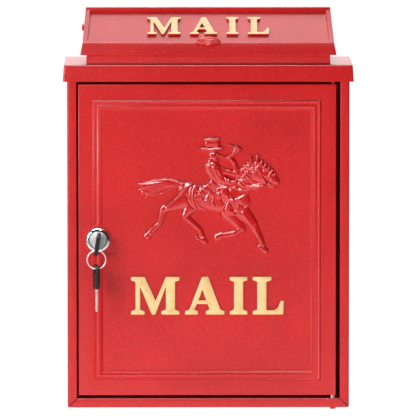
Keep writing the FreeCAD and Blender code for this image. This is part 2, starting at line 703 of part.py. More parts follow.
def lock_washer():
    start = BODY_FRONT + DOOR_PLATE
    end = start + LOCK_WASHER_THICKNESS
    return about_lock_axis(
        [(LOCK_BARREL_R, start), (LOCK_WASHER_R, start), (LOCK_WASHER_R, end), (LOCK_BARREL_R, end)])


def lock_nut():
    """Hexagon nut that clamps the lock to the door."""
    start = BODY_FRONT + DOOR_PLATE + LOCK_WASHER_THICKNESS
    end = start + NUT_THICKNESS
    corners = []
    for k in range(6):
        turn = math.radians(60 * k + 30)
        corners.append((LOCK_X + NUT_CORNER_R * math.cos(turn), LOCK_Z + NUT_CORNER_R * math.sin(turn)))
    nut = prism_y(corners, start, end)
    return nut.cut(rod(LOCK_BARREL_R, Vector(LOCK_X, start - 1, LOCK_Z), Vector(LOCK_X, end + 1, LOCK_Z)))


def rolled(shape):
    """Lean a piece that was made upright at the lock to the keyway's angle."""
    shape.rotate(Vector(LOCK_X, 0, LOCK_Z), Y_AXIS, LOCK_ROLL)
    return shape


def at_lock(dx, y, dz):
    return Vector(LOCK_X + dx, y, LOCK_Z + dz)


BOW_BACK = LOCK_FACE - 0.6
BLADE_TIP = BOW_BACK + BLADE_LENGTH
TAIL_HALF = 3.0
CAM_FRONT = LOCK_BACK + 0.2
CAM_BACK = CAM_FRONT + CAM_THICKNESS
SCREW_SEAT = CAM_BACK + CAM_WASHER_THICKNESS


def lock_plug():
    """Turning plug with a keyway, a wide face and a square tail for the cam."""
    gap = 0.12
    plug = rod(PLUG_R, at_lock(0, LOCK_FACE, 0), at_lock(0, CAM_FRONT, 0))
    face = rod(PLUG_FACE_R, at_lock(0, LOCK_FACE, 0), at_lock(0, LOCK_FACE + 2.0, 0))
    tail = box(LOCK_X - TAIL_HALF, LOCK_X + TAIL_HALF, CAM_FRONT - 1, CAM_BACK,
               LOCK_Z - TAIL_HALF, LOCK_Z + TAIL_HALF)
    plug = fuse([plug, face, tail])
    keyway = box(LOCK_X - BLADE_THICKNESS / 2 - gap, LOCK_X + BLADE_THICKNESS / 2 + gap, LOCK_FACE - 1,
                 BLADE_TIP + 0.3, LOCK_Z - BLADE_HEIGHT / 2 - gap, LOCK_Z + BLADE_HEIGHT / 2 + gap)
    screw_hole = rod(SCREW_R, at_lock(0, CAM_BACK - SCREW_REACH, 0), at_lock(0, CAM_BACK + 1, 0))
    return rolled(plug.cut(keyway).cut(screw_hole))


def lock_cam():
    """Flat cam that hangs down when the door is unlocked."""
    corner = 4.0
    tip_half = 3.5
    shoulder = LOCK_Z - CAM_REACH + corner
    hub = rod(CAM_HUB_R, at_lock(0, CAM_FRONT, 0), at_lock(0, CAM_BACK, 0))
    arm = prism_y([(LOCK_X - CAM_HALF_WIDTH, LOCK_Z), (LOCK_X - CAM_HALF_WIDTH, shoulder),
                   (LOCK_X - tip_half, LOCK_Z - CAM_REACH), (LOCK_X + tip_half, LOCK_Z - CAM_REACH),
                   (LOCK_X + CAM_HALF_WIDTH, shoulder), (LOCK_X + CAM_HALF_WIDTH, LOCK_Z)], CAM_FRONT, CAM_BACK)
    square = box(LOCK_X - TAIL_HALF, LOCK_X + TAIL_HALF, CAM_FRONT - 1, CAM_BACK + 1,
                 LOCK_Z - TAIL_HALF, LOCK_Z + TAIL_HALF)
    return rolled(fuse([hub, arm]).cut(square))


def cam_washer():
    disc = rod(CAM_WASHER_R, at_lock(0, CAM_BACK, 0), at_lock(0, SCREW_SEAT, 0))
    return disc.cut(rod(SCREW_R, at_lock(0, CAM_BACK, 0), at_lock(0, SCREW_SEAT, 0)))


def cam_screw():
    """Pan-head screw with a cross slot."""
    end = SCREW_SEAT + SCREW_HEAD_HEIGHT
    head = rod(SCREW_HEAD_R, at_lock(0, SCREW_SEAT, 0), at_lock(0, end, 0))
    head = head.makeFillet(0.9, edges_where(head, lambda b: near(b.YMin, end)))
    shank = rod(SCREW_R, at_lock(0, CAM_BACK - SCREW_REACH, 0), at_lock(0, SCREW_SEAT, 0))
    screw = fuse([head, shank])
    long_half = 2.2
    short_half = 0.4
    for half_x, half_z in ((long_half, short_half), (short_half, long_half)):
        screw = screw.cut(box(LOCK_X - half_x, LOCK_X + half_x, end - 1.2, end + 1, LOCK_Z - half_z,
                              LOCK_Z + half_z))
    return screw


def bow_blank(height, corner_radius, drop):
    """A key's bow with its slot, in the YZ plane: the blade's end at y = 0, the free end at -y."""
    half = BOW_THICKNESS / 2
    bow = box(-half, half, -BOW_LENGTH, 0, -height / 2, height / 2)
    bow = bow.makeFillet(corner_radius, edges_where(bow, lambda b: b.XLength > 1))
    bow = bow.makeFillet(BOW_RIM_R, edges_where(bow, lambda b: near(b.XLength, 0)))
    middle = BOW_HOLE_INSET - BOW_LENGTH
    reach = BOW_HOLE_LENGTH / 2 - BOW_HOLE_R
    for level in (-reach, reach):
        bow = bow.cut(rod(BOW_HOLE_R, Vector(-5, middle, level), Vector(5, middle, level)))
    bow = bow.cut(box(-5, 5, middle - BOW_HOLE_R, middle + BOW_HOLE_R, -reach, reach))
    bow.translate(Vector(0, 0, -drop))
    return bow


def blade_blank():
    """A key's blade along +Y from y = 0, with a bevelled tip, a groove and wafer cuts."""
    half = BLADE_THICKNESS / 2
    tall = BLADE_HEIGHT / 2
    outline = [(0, -tall), (BLADE_LENGTH - 2.5, -tall), (BLADE_LENGTH, -tall + 2.5), (BLADE_LENGTH, tall - 3.0),
               (BLADE_LENGTH - 3.0, tall), (0, tall)]
    blade = prism_x(outline, -half, half)
    for place, depth in ((6.0, 1.0), (9.5, 1.6), (13.0, 0.7), (16.5, 1.4), (19.7, 0.9)):
        notch = prism_x([(place - 1.5, tall + 0.1), (place - 0.6, tall - depth), (place + 0.6, tall - depth),
                         (place + 1.5, tall + 0.1)], -half - 1, half + 1)
        blade = blade.cut(notch)
    groove = box(half - 0.5, half + 1, 0, BLADE_LENGTH + 1, -1.6, -0.6)
    return blade.cut(groove)


def key_bow():
    bow = bow_blank(BOW_HEIGHT, BOW_CORNER_R, BOW_DROP)
    bow.translate(at_lock(0, BOW_BACK, 0))
    return rolled(bow)


def key_blade():
    blade = blade_blank()
    blade.translate(at_lock(0, BOW_BACK, 0))
    return rolled(blade)


RING_Y = BOW_BACK - BOW_LENGTH + BOW_HOLE_INSET
RING_TOP_DZ = RING_SLACK - BOW_HOLE_LENGTH / 2 - BOW_DROP
RING_X = LOCK_X + RING_TOP_DZ * math.sin(math.radians(LOCK_ROLL))


def key_ring():
    """Wire ring that hangs in the key's bow."""
    centre = Vector(RING_X, RING_Y, LOCK_Z + RING_TOP_DZ - RING_R)
    return Part.makeTorus(RING_R, RING_WIRE_R, centre, Y_AXIS)


SPARE_PIVOT_Z = LOCK_Z + RING_TOP_DZ - 2 * RING_R


def hang_spare(shape):
    """Turn a key piece so that its blade points down and hang it from the ring."""
    shape.rotate(Vector(0, 0, 0), X_AXIS, -90)
    shape.rotate(Vector(0, 0, 0), Z_AXIS, SPARE_YAW)
    bow_end = SPARE_PIVOT_Z + RING_SLACK - BOW_HOLE_R + BOW_HOLE_INSET - BOW_LENGTH
    shape.translate(Vector(RING_X, RING_Y, bow_end))
    return shape


def spare_bow():
    return hang_spare(bow_blank(SPARE_BOW_HEIGHT, SPARE_BOW_CORNER_R, 0))


def spare_blade():
    return hang_spare(blade_blank())


PIECES = {
    "body_wrap": body_wrap,
    "top_rail": top_rail,
    "back_panel": back_panel,
    "roof_cap": roof_cap,
    "hopper_collar": hopper_collar,
    "flap_hood": flap_hood,
    "flap_letters": flap_letters,
    "flap_pins": flap_pins,
    "flap_pin_clips": flap_pin_clips,
    "door_panel": door_panel,
    "door_letters": door_letters,
    "rider_relief": rider_relief,
    "door_pin_top": door_pin_top,
    "door_pin_bottom": door_pin_bottom,
    "door_spacer": door_spacer,
    "lock_housing": lock_housing,
    "lock_washer": lock_washer,
    "lock_nut": lock_nut,
    "lock_plug": lock_plug,
    "lock_cam": lock_cam,
    "cam_washer": cam_washer,
    "cam_screw": cam_screw,
    "key_bow": key_bow,
    "key_blade": key_blade,
    "key_ring": key_ring,
    "spare_key_bow": spare_bow,
    "spare_key_blade": spare_blade,
}


def main():
    os.makedirs("parts", exist_ok=True)
    for name, make in PIECES.items():
        shape = make()
        shape.translate(Vector(0, 0, -WALL_HOLE_Z))
        shape.exportStep(f"parts/{name}.step")
        size = shape.BoundBox
        print(f"{name}: valid {shape.isValid()}, solids {len(shape.Solids)}, volume {shape.Volume:.1f}, "
              f"x {size.XMin:.1f}..{size.XMax:.1f}, y {size.YMin:.1f}..{size.YMax:.1f}, "
              f"z {size.ZMin:.1f}..{size.ZMax:.1f}")


main()
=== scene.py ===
# A wall-mounted post box: powder-coated sheet steel, a cast flap and door, gilt letters, a relief and a
# cylinder lock with two keys.
#
# The pieces are made in millimetres, in the box's own measure: x to the right from the middle, y into
# the wall from its face and z up from the underside of the body. at() makes such a place and mm()
# turns it into the frame's metres.

from math import atan2, cos, hypot, pi, radians, sin, sqrt, tan, tau

import bmesh
import bpy
import numpy as np
from mathutils import Matrix, Vector


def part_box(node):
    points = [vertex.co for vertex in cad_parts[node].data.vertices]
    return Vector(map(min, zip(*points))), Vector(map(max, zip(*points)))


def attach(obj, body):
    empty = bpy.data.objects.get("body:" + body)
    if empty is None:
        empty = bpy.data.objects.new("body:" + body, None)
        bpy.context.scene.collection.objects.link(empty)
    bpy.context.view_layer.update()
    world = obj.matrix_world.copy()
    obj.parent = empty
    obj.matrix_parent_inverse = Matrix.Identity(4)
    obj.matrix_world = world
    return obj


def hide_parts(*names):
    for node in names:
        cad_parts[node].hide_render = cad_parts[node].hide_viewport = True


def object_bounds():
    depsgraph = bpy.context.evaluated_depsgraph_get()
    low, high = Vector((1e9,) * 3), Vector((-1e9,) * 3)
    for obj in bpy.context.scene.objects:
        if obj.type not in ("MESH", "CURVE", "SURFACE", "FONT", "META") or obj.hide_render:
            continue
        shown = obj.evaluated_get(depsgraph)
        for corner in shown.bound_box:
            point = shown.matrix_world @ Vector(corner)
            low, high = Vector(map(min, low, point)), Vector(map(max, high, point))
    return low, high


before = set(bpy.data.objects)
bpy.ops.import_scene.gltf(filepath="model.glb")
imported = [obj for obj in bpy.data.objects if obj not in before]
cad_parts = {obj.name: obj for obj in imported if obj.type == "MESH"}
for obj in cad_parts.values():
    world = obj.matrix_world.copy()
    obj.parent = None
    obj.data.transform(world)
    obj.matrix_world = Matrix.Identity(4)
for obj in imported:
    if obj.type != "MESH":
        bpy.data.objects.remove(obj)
cad_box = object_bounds()

MM = 0.001
WELD = 2e-6     # metres
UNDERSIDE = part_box("body_wrap")[0].z / MM
SCENE = bpy.context.scene


def at(x, y, z):
    return Vector((x, y, z + UNDERSIDE))


def mm(x, y, z):
    return at(x, y, z) * MM


def smoothstep(value):
    value = min(max(value, 0.0), 1.0)
    return value * value * (3 - 2 * value)


# ---------------------------------------------------------------- meshes

def finish_mesh(name, bm, body, node, slot, sharp, *materials):
    """Clean a mesh, shade it, give it its materials and let it ride on its body in a CAD node's place."""
    bmesh.ops.remove_doubles(bm, verts=bm.verts, dist=WELD)
    bmesh.ops.dissolve_degenerate(bm, edges=bm.edges, dist=WELD / 2)
    bmesh.ops.recalc_face_normals(bm, faces=bm.faces)
    mesh = bpy.data.meshes.new(name)
    bm.to_mesh(mesh)
    bm.free()
    for material in materials:
        mesh.materials.append(material)
    mesh.polygons.foreach_set("use_smooth", [True] * len(mesh.polygons))
    mesh.set_sharp_from_angle(angle=radians(sharp))
    piece = bpy.data.objects.new(name, mesh)
    SCENE.collection.objects.link(piece)
    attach(piece, body)
    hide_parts(node)


def add_loft(bm, rings, closed_tube=False, caps=False, wrap=True):
    """Quads through rings of points, each ring with the same number of them."""
    rows = [[bm.verts.new(point) for point in ring] for ring in rings]
    if closed_tube:
        rows.append(rows[0])
    count = len(rows[0])
    for first, second in zip(rows, rows[1:]):
        for k in range(count if wrap else count - 1):
            n = (k + 1) % count
            bm.faces.new((first[k], first[n], second[n], second[k]))
    if caps:
        bm.faces.new(rows[0])
        bm.faces.new(rows[-1][::-1])


def loft(rings, **how):
    bm = bmesh.new()
    add_loft(bm, rings, **how)
    return bm


def scratch(bm):
    """A passing object to cut, or to cut with."""
    bmesh.ops.recalc_face_normals(bm, faces=bm.faces)
    mesh = bpy.data.meshes.new("scratch")
    bm.to_mesh(mesh)
    bm.free()
    piece = bpy.data.objects.new("scratch", mesh)
    SCENE.collection.objects.link(piece)
    return piece


def cut(bm, cutters):
    """Take other meshes away from a mesh, exactly."""
    piece = scratch(bm)
    tools = [scratch(cutter) for cutter in cutters]
    for tool in tools:
        modifier = piece.modifiers.new("cut", "BOOLEAN")
        modifier.operation = "DIFFERENCE"
        modifier.solver = "EXACT"
        modifier.object = tool
    bpy.context.view_layer.update()
    result = bpy.data.meshes.new_from_object(piece.evaluated_get(bpy.context.evaluated_depsgraph_get()))
    clean = bmesh.new()
    clean.from_mesh(result)
    for item in tools + [piece]:
        bpy.data.objects.remove(item)
    return clean


def turns(steps):
    return [tau * k / steps for k in range(steps)]


def rod(radius, start, end):
    run = end - start
    side = run.orthogonal().normalized()
    up = run.normalized().cross(side)
    return loft([[(place + (side * cos(turn) + up * sin(turn)) * radius) * MM for turn in turns(48)]
                 for place in (start, end)], caps=True)


def arc(centre_a, centre_b, radius, from_degrees, to_degrees, steps):
    """Points of an arc in a plane of two coordinates."""
    points = []
    for k in range(steps + 1):
        turn = radians(from_degrees + (to_degrees - from_degrees) * k / steps)
        points.append((centre_a + radius * cos(turn), centre_b + radius * sin(turn)))
    return points


def node_copy(node):
    """A CAD node's mesh, with its triangles joined into flat faces."""
    bm = bmesh.new()
    bm.from_mesh(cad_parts[node].data)
    bmesh.ops.remove_doubles(bm, verts=bm.verts, dist=WELD)
    bmesh.ops.dissolve_limit(bm, angle_limit=radians(1.0), verts=bm.verts, edges=bm.edges)
    return bm


def round_edges(bm, edges, width, segments=3):
    bmesh.ops.bevel(bm, geom=edges, offset=width * MM, segments=segments, profile=0.5, affect="EDGES",
                    clamp_overlap=True)


# ---------------------------------------------------------------- materials

def gray(value):
    return (value, value, value, 1.0)


def shade(color, factor):
    return tuple(channel * factor for channel in color) + (1.0,)


class Recipe:
    """The nodes of a material or a world, added to the shader it starts with."""

    def __init__(self, holder, shader="Principled BSDF", space="Object"):
        holder.use_nodes = True
        self.material = holder
        self.nodes = holder.node_tree.nodes
        self.link = holder.node_tree.links.new
        self.inputs = self.nodes[shader].inputs
        self.coords = self.nodes.new("ShaderNodeTexCoord").outputs[space]

    def noise(self, scale, detail=2.0, roughness=0.5):
        noise = self.nodes.new("ShaderNodeTexNoise")
        noise.inputs["Scale"].default_value = scale
        noise.inputs["Detail"].default_value = detail
        noise.inputs["Roughness"].default_value = roughness
        self.link(self.coords, noise.inputs["Vector"])
        return noise.outputs["Fac"]

    def ramp(self, source, *stops):
        """Colors by a value, from (value, color) stops."""
        ramp = self.nodes.new("ShaderNodeValToRGB")
        elements = ramp.color_ramp.elements
        while len(elements) < len(stops):
            elements.new(0.5)
        for element, (place, color) in zip(elements, stops):
            element.position = place
            element.color = color
        self.link(source, ramp.inputs["Fac"])
        return ramp.outputs["Color"]

    def mix(self, factor, first, second, blend="MIX"):
        """Mix two colors; a value that isn't another node's output is a constant."""
        mix = self.nodes.new("ShaderNodeMix")
        mix.data_type = "RGBA"
        mix.blend_type = blend
        for name, value in (("Factor", factor), ("A", first), ("B", second)):
            if isinstance(value, bpy.types.NodeSocket):
                self.link(value, mix.inputs[name])
            else:
                mix.inputs[name].default_value = value
        return mix.outputs["Result"]

    def bump(self, height, distance, strength, previous=None):
        bump = self.nodes.new("ShaderNodeBump")
        bump.inputs["Distance"].default_value = distance
        bump.inputs["Strength"].default_value = strength
        self.link(height, bump.inputs["Height"])
        if previous:
            self.link(previous, bump.inputs["Normal"])
        self.link(bump.outputs["Normal"], self.inputs["Normal"])
        return bump.outputs["Normal"]

    def gloss(self, source, low, high):
        """Let the roughness follow a noise."""
        self.link(self.ramp(source, (0.3, gray(low)), (0.7, gray(high))), self.inputs["Roughness"])


def powder_coat(name, color, roughness, coat):
    """Stove-dried powder paint: a fine orange peel, painted glints (tiny pale specks in its colour) and a
    little uneven gloss.
    """
    recipe = Recipe(bpy.data.materials.new(name))
    lighter = tuple(min(channel * 1.06 + 0.002, 1.0) for channel in color) + (1.0,)
    pale = tuple(channel * 0.6 + 0.30 for channel in color) + (1.0,)
    base = recipe.ramp(recipe.noise(14.0, 3.0), (0.3, shade(color, 0.90)), (0.7, lighter))
    mottle = recipe.ramp(recipe.noise(620.0), (0.35, gray(0.86)), (0.65, gray(1.0)))
    tone = recipe.mix(1.0, base, mottle, "MULTIPLY")
    # Painted highlights: sparse pale dots in the base colour stand in for the coat's glints.
    glint_cells = recipe.nodes.new("ShaderNodeTexVoronoi")
    glint_cells.inputs["Scale"].default_value = 420.0
    recipe.link(recipe.coords, glint_cells.inputs["Vector"])
    dot = recipe.ramp(glint_cells.outputs["Distance"], (0.14, gray(1.0)), (0.30, gray(0.0)))
    chosen = recipe.ramp(glint_cells.outputs["Color"], (0.62, gray(0.0)), (0.88, gray(0.34)))
    painted_glint_mask = recipe.nodes.new("ShaderNodeMath")
    painted_glint_mask.operation = "MULTIPLY"
    recipe.link(dot, painted_glint_mask.inputs[0])
    recipe.link(chosen, painted_glint_mask.inputs[1])
    recipe.link(recipe.mix(painted_glint_mask.outputs[0], tone, pale), recipe.inputs["Base Color"])
    recipe.gloss(recipe.noise(300.0), roughness * 0.93, roughness * 1.07)
    coarse = recipe.bump(recipe.noise(260.0, 1.0), 0.00030, 0.45)
    recipe.bump(recipe.noise(900.0, 1.0), 0.00022, 0.6, coarse)
    recipe.inputs["IOR"].default_value = 1.5
    recipe.inputs["Specular IOR Level"].default_value = 0.35
    recipe.inputs["Coat Weight"].default_value = coat
    recipe.inputs["Coat Roughness"].default_value = 0.12
    recipe.inputs["Coat IOR"].default_value = 1.5
    return recipe.material


def gilt_paint():
    """Pale gold enamel brushed onto the letters' faces."""
    recipe = Recipe(bpy.data.materials.new("gilt_paint"))
    base = recipe.ramp(recipe.noise(160.0, 3.0), (0.25, (0.77, 0.49, 0.19, 1.0)),
                       (0.75, (0.88, 0.60, 0.28, 1.0)))
    recipe.link(base, recipe.inputs["Base Color"])
    grain = recipe.noise(700.0)
    recipe.gloss(grain, 0.32, 0.46)
    recipe.bump(grain, 0.0001, 0.5)
    return recipe.material


def worn_metal(name, color, rough_low, rough_high, scale, bump_distance):
    """Plated or bare metal with an uneven polish."""
    recipe = Recipe(bpy.data.materials.new(name))
    drift = recipe.noise(scale, 4.0, 0.6)
    base = recipe.ramp(drift, (0.3, shade(color, 0.82)), (0.7, shade(color, 1.0)))
    recipe.link(base, recipe.inputs["Base Color"])
    recipe.inputs["Metallic"].default_value = 1.0
    recipe.gloss(drift, rough_low, rough_high)
    recipe.bump(recipe.noise(scale * 6), bump_distance, 0.4)
    return recipe.material


def black_plastic():
    """Moulded black plastic with a fine spark-eroded grain."""
    recipe = Recipe(bpy.data.materials.new("black_plastic"))
    base = recipe.ramp(recipe.noise(120.0, 3.0), (0.3, (0.006, 0.0065, 0.007, 1.0)),
                       (0.7, (0.014, 0.0145, 0.016, 1.0)))
    recipe.link(base, recipe.inputs["Base Color"])
    recipe.inputs["Specular IOR Level"].default_value = 0.28
    grain = recipe.noise(2400.0)
    recipe.gloss(grain, 0.36, 0.5)
    recipe.bump(grain, 0.00006, 0.6)
    return recipe.material


RED = (0.60, 0.0115, 0.0125)
PAINT = powder_coat("red_powder_coat", RED, 0.31, 0.2)
RELIEF_PAINT = powder_coat("red_gloss_coat", RED, 0.20, 1.0)
GILT = gilt_paint()
CHROME = worn_metal("chrome_plate", (0.86, 0.87, 0.88), 0.06, 0.14, 180.0, 0.00002)
SATIN = worn_metal("satin_nickel", (0.86, 0.85, 0.84), 0.26, 0.50, 700.0, 0.00040)
ZINC = worn_metal("zinc_plate", (0.66, 0.67, 0.69), 0.24, 0.44, 240.0, 0.00005)
KEY_STEEL = worn_metal("key_nickel", (0.96, 0.95, 0.93), 0.34, 0.52, 420.0, 0.00006)
BLACK = black_plastic()

CARRIED = [
    (PAINT, "body_wrap top_rail back_panel roof_cap hopper_collar flap_hood flap_pins"),
    (PAINT, "door_panel door_pin_top door_pin_bottom"),
    (RELIEF_PAINT, "rider_relief"),
    (GILT, "flap_letters door_letters"),
    (CHROME, "lock_housing"),
    (SATIN, "lock_plug"),
    (ZINC, "flap_pin_clips door_spacer lock_washer lock_nut lock_cam cam_washer cam_screw"),
    (KEY_STEEL, "key_blade key_ring spare_key_blade"),
    (BLACK, "key_bow spare_key_bow"),
]
for carried, node_names in CARRIED:
    for node_name in node_names.split():
        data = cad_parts[node_name].data
        data.materials.clear()
        data.materials.append(carried)

# ---------------------------------------------------------------- door

DOOR_LOW, DOOR_HIGH = [corner / MM - Vector((0, 0, UNDERSIDE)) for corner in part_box("door_panel")]
DOOR_FACE = -105.5
DOOR_BACK = DOOR_FACE + 8.0
DOOR_PLATE = 3.0
DOOR_RIM = 2.5
DOOR_EDGE = ((-139.4, 13.4), (137.0, 349.0))
LOCK_X = -118.3
LOCK_Z = 182.0
LOCK_PAD = 15.0
LOCK_CENTRE = at(LOCK_X, 0.0, LOCK_Z)
HINGE_X = 133.9
HINGE_Y = DOOR_FACE + 5.0
MOULDING_EDGE = ((-124.2, 28.8), (121.0, 332.2))
MOULDING_WIDTH = 10.8


def door_ring(inset, y, corners=DOOR_EDGE, lift=0.0):
    """Points round the door at an inset from a rectangle; the lift fades out on the lock's round pad."""
    (x0, z0), (x1, z1) = corners
    x0 += inset
    x1 -= inset
    z0 += inset
    z1 -= inset
    # Closer levels on the left side, where the pad's edge meets it.
    left = [LOCK_Z - LOCK_PAD - 3.2 + 0.4 * k for k in range(12)]
    left += [LOCK_Z - LOCK_PAD + 2.5 + 3.125 * k for k in range(9)]
    left += [LOCK_Z + LOCK_PAD - 1.2 + 0.4 * k for k in range(12)]
    ring = []
    for x, z in [(x0, z0)] + [(x0, z) for z in left] + [(x0, z1), (x1, z1), (x1, z0)]:
        away = hypot(x - LOCK_X, z - LOCK_Z) - LOCK_PAD
        ring.append(mm(x, y - lift * sqrt(smoothstep(away / 1.6)), z))
    return ring


def bead(away, half_width):
    """A rounded ridge of height 1, by the distance from its middle."""
    return 0.5 * (1 + cos(pi * away / half_width)) if abs(away) < half_width else 0.0


def moulding_profile():
    """(inset, height) across the moulding: a narrow bead, a cove, a broad bead and a sloping inner edge."""
    points = [(-0.7, 0.0)]
    for k in range(41):
        inset = MOULDING_WIDTH * k / 40
        band = 1.3 * smoothstep(inset / 1.3) * smoothstep((MOULDING_WIDTH - inset) / 1.4)
        beads = 0.65 * bead(inset - 1.9, 1.7) + 0.68 * bead(inset - 6.9, 2.6)
        points.append((inset, band + beads))
    return points + [(MOULDING_WIDTH + 0.8, 0.0)]


def make_door():
    """Cast door: rounded edges, the moulding, a rim behind, pivot bosses and the bores."""
    edge = 1.1
    inner = 0.5
    pin_bore = 2.15
    lock_bore = 9.02
    boss_height = 16.0
    behind = [(DOOR_RIM, DOOR_FACE + DOOR_PLATE), (DOOR_RIM, DOOR_BACK - inner),
              (DOOR_RIM - inner, DOOR_BACK), (inner, DOOR_BACK), (0.0, DOOR_BACK - inner)]
    rings = [door_ring(inset, y) for inset, y in behind + arc(edge, DOOR_FACE + edge, edge, 180, 270, 6)]
    rings += [door_ring(inset, DOOR_FACE, MOULDING_EDGE, height) for inset, height in moulding_profile()]
    bm = loft(rings, caps=True)
    for low in (DOOR_LOW.z, DOOR_HIGH.z - boss_height):
        boss = [(HINGE_X - 5.0, DOOR_FACE + 2.0), (DOOR_HIGH.x - 0.6, DOOR_FACE + 2.0),
                (DOOR_HIGH.x - 0.6, HINGE_Y + 3.2), (DOOR_HIGH.x - 1.4, HINGE_Y + 4.0),
                (HINGE_X - 4.2, HINGE_Y + 4.0), (HINGE_X - 5.0, HINGE_Y + 3.2)]
        levels = (low + 0.3, low + boss_height - 0.3)
        add_loft(bm, [[mm(x, y, z) for x, y in boss] for z in levels], caps=True)
    bores = [rod(pin_bore, at(HINGE_X, HINGE_Y, low), at(HINGE_X, HINGE_Y, high))
             for low, high in ((DOOR_LOW.z - 2, DOOR_LOW.z + 12.2), (DOOR_HIGH.z - 12.2, DOOR_HIGH.z + 2))]
    bores.append(rod(lock_bore, at(LOCK_X, DOOR_FACE - 4, LOCK_Z), at(LOCK_X, DOOR_BACK + 2, LOCK_Z)))
    finish_mesh("door_casting", cut(bm, bores), "door", "door_panel", "red_paint", 40, PAINT)


def soft_letters(name, node, face_normal, body):
    """The CAD letters with rounded corners and edges: gilt faces on red sides."""
    bm = node_copy(node)
    normal = Vector(face_normal).normalized()
    upright = [edge for edge in bm.edges
               if abs((edge.verts[1].co - edge.verts[0].co).normalized().dot(normal)) > 0.99]
    round_edges(bm, upright, 0.9, 4)
    bm.normal_update()
    front = [face for face in bm.faces if face.normal.dot(normal) > 0.99]
    rim = dict.fromkeys(edge for face in front for edge in face.edges)
    round_edges(bm, list(rim), 0.45)
    bm.normal_update()
    for face in bm.faces:
        face.material_index = 0 if face.normal.dot(normal) > 0.5 else 1
    finish_mesh(name, bm, body, node, "gold_paint", 50, GILT, PAINT)


# ---------------------------------------------------------------- flap

ROOF_TOP = 370.2
FLAP_AXIS = (-27.5, ROOF_TOP + 34.0)
LIP = (-111.0, ROOF_TOP + 10.4)
SLOPE = (-107.5, ROOF_TOP + 23.6)
CREST = (-64.0, ROOF_TOP + 55.0)
SLOPE_ANGLE = atan2(CREST[1] - SLOPE[1], CREST[0] - SLOPE[0])
FLAP_TOP = ROOF_TOP + 59.0
FLAP_BACK_R = 22.0
FLAP_WALL = 2.2
RECESS = 3.0
BORDER = 5.0
FLAP_HALF = 134.4
LIP_LEAN = 0.2
CHEEK_LEAN = 0.086


def flap_half_width(z):
    return FLAP_HALF + (SLOPE[1] - z) * (LIP_LEAN if z < SLOPE[1] else CHEEK_LEAN)


def rounded_corner(before, corner, after, radius, steps=4):
    """Points that round a polygon's corner."""
    a = Vector(before) - Vector(corner)
    b = Vector(after) - Vector(corner)
    half = a.angle(b) / 2
    reach = radius / tan(half)
    a.normalize()
    b.normalize()
    start = Vector(corner) + a * reach
    end = Vector(corner) + b * reach
    centre = Vector(corner) + (a + b).normalized() * (radius / sin(half))
    return [tuple(centre + (start - centre).slerp(end - centre, k / steps)) for k in range(steps + 1)]


def flap_outline():
    """The flap's side outline as (y, z), counted from the lip's foot over the top to the back's foot."""
    back = arc(FLAP_AXIS[0], FLAP_AXIS[1], FLAP_BACK_R, 90, -60, 30)
    top = (CREST[0], FLAP_TOP)
    outline = rounded_corner(back[-1], LIP, SLOPE, 0.95, 3)
    outline += rounded_corner(LIP, SLOPE, CREST, 1.3)
    outline += rounded_corner(SLOPE, CREST, top, 0.6, 2)
    outline += rounded_corner(CREST, top, back[0], 1.3)
    return outline + back


def offset_outline(outline, inward):
    """Move each point of a closed (y, z) outline inward along its corner's middle line."""
    moved = []
    for k, point in enumerate(outline):
        here = Vector(point)
        first = (here - Vector(outline[k - 1])).normalized()
        second = (Vector(outline[(k + 1) % len(outline)]) - here).normalized()
        normal_a = Vector((first.y, -first.x))
        normal_b = Vector((second.y, -second.x))
        middle = (normal_a + normal_b).normalized()
        stretch = inward / max(middle.dot(normal_a), 0.5)
        moved.append(tuple(here + middle * stretch))
    return moved


def split_level(bm, z):
    """An edge round a mesh at a height, where its sides change their lean."""
    geometry = list(bm.verts) + list(bm.edges) + list(bm.faces)
    bmesh.ops.bisect_plane(bm, geom=geometry, plane_co=mm(0, 0, z), plane_no=(0, 0, 1), dist=1e-7)


def make_flap():
    """Cast hood with a framed recess in its slope, a crest rib, rounded cheeks and a ribbed finger grip."""
    edge = 0.9
    pin_bore = 2.55
    outline = flap_outline()
    rings = []
    for side in (-1, 1):
        part = []
        for k in range(6):
            turn = radians(90 * k / 5)
            half_drop = edge * (1 - cos(turn))
            part.append([mm(side * (flap_half_width(z) - half_drop), y, z)
                         for y, z in offset_outline(outline, edge * (1 - sin(turn)))])
        rings += part if side < 0 else part[::-1]
    bm = loft(rings, caps=True)
    split_level(bm, SLOPE[1])
    hollow = loft([[mm(side * (flap_half_width(z) - FLAP_WALL), y, z) for y, z in hollow_path()]
                   for side in (-1, 1)], caps=True)
    split_level(hollow, SLOPE[1])
    bm = cut(bm, [hollow, flap_recess(), rod(pin_bore, at(-150, *FLAP_AXIS), at(150, *FLAP_AXIS))])
    add_grip(bm)
    finish_mesh("flap_casting", bm, "flap", "flap_hood", "red_paint", 32, PAINT)


def on_slope(x, up, out):
    """A place on the flap's slope: x across, up the slope from its lower edge, out of its face."""
    run, rise = cos(SLOPE_ANGLE), sin(SLOPE_ANGLE)
    return mm(x, SLOPE[0] + up * run - out * rise, SLOPE[1] + up * rise + out * run)


def hollow_path():
    """The flap's inside as (y, z), open towards the wall."""
    wall = FLAP_WALL
    run = (SLOPE[0] - LIP[0]) / (SLOPE[1] - LIP[1])
    below = LIP[1] - 6
    depth = (wall + RECESS) / cos(SLOPE_ANGLE)
    top = FLAP_TOP - wall
    front = SLOPE[0] + wall
    front_z = SLOPE[1] + (front - SLOPE[0]) * tan(SLOPE_ANGLE) - depth
    points = [(LIP[0] + wall - (LIP[1] - below) * run, below),
              (front - (SLOPE[1] - front_z) * run, front_z),
              (SLOPE[0] + (top - SLOPE[1] + depth) / tan(SLOPE_ANGLE), top)]
    back = arc(FLAP_AXIS[0], FLAP_AXIS[1], FLAP_BACK_R - wall, 90, 30, 12)
    far = 60.0
    return points + back + [(FLAP_AXIS[0] + far, FLAP_AXIS[1] + far * tan(radians(30))),
                            (FLAP_AXIS[0] + far, below)]


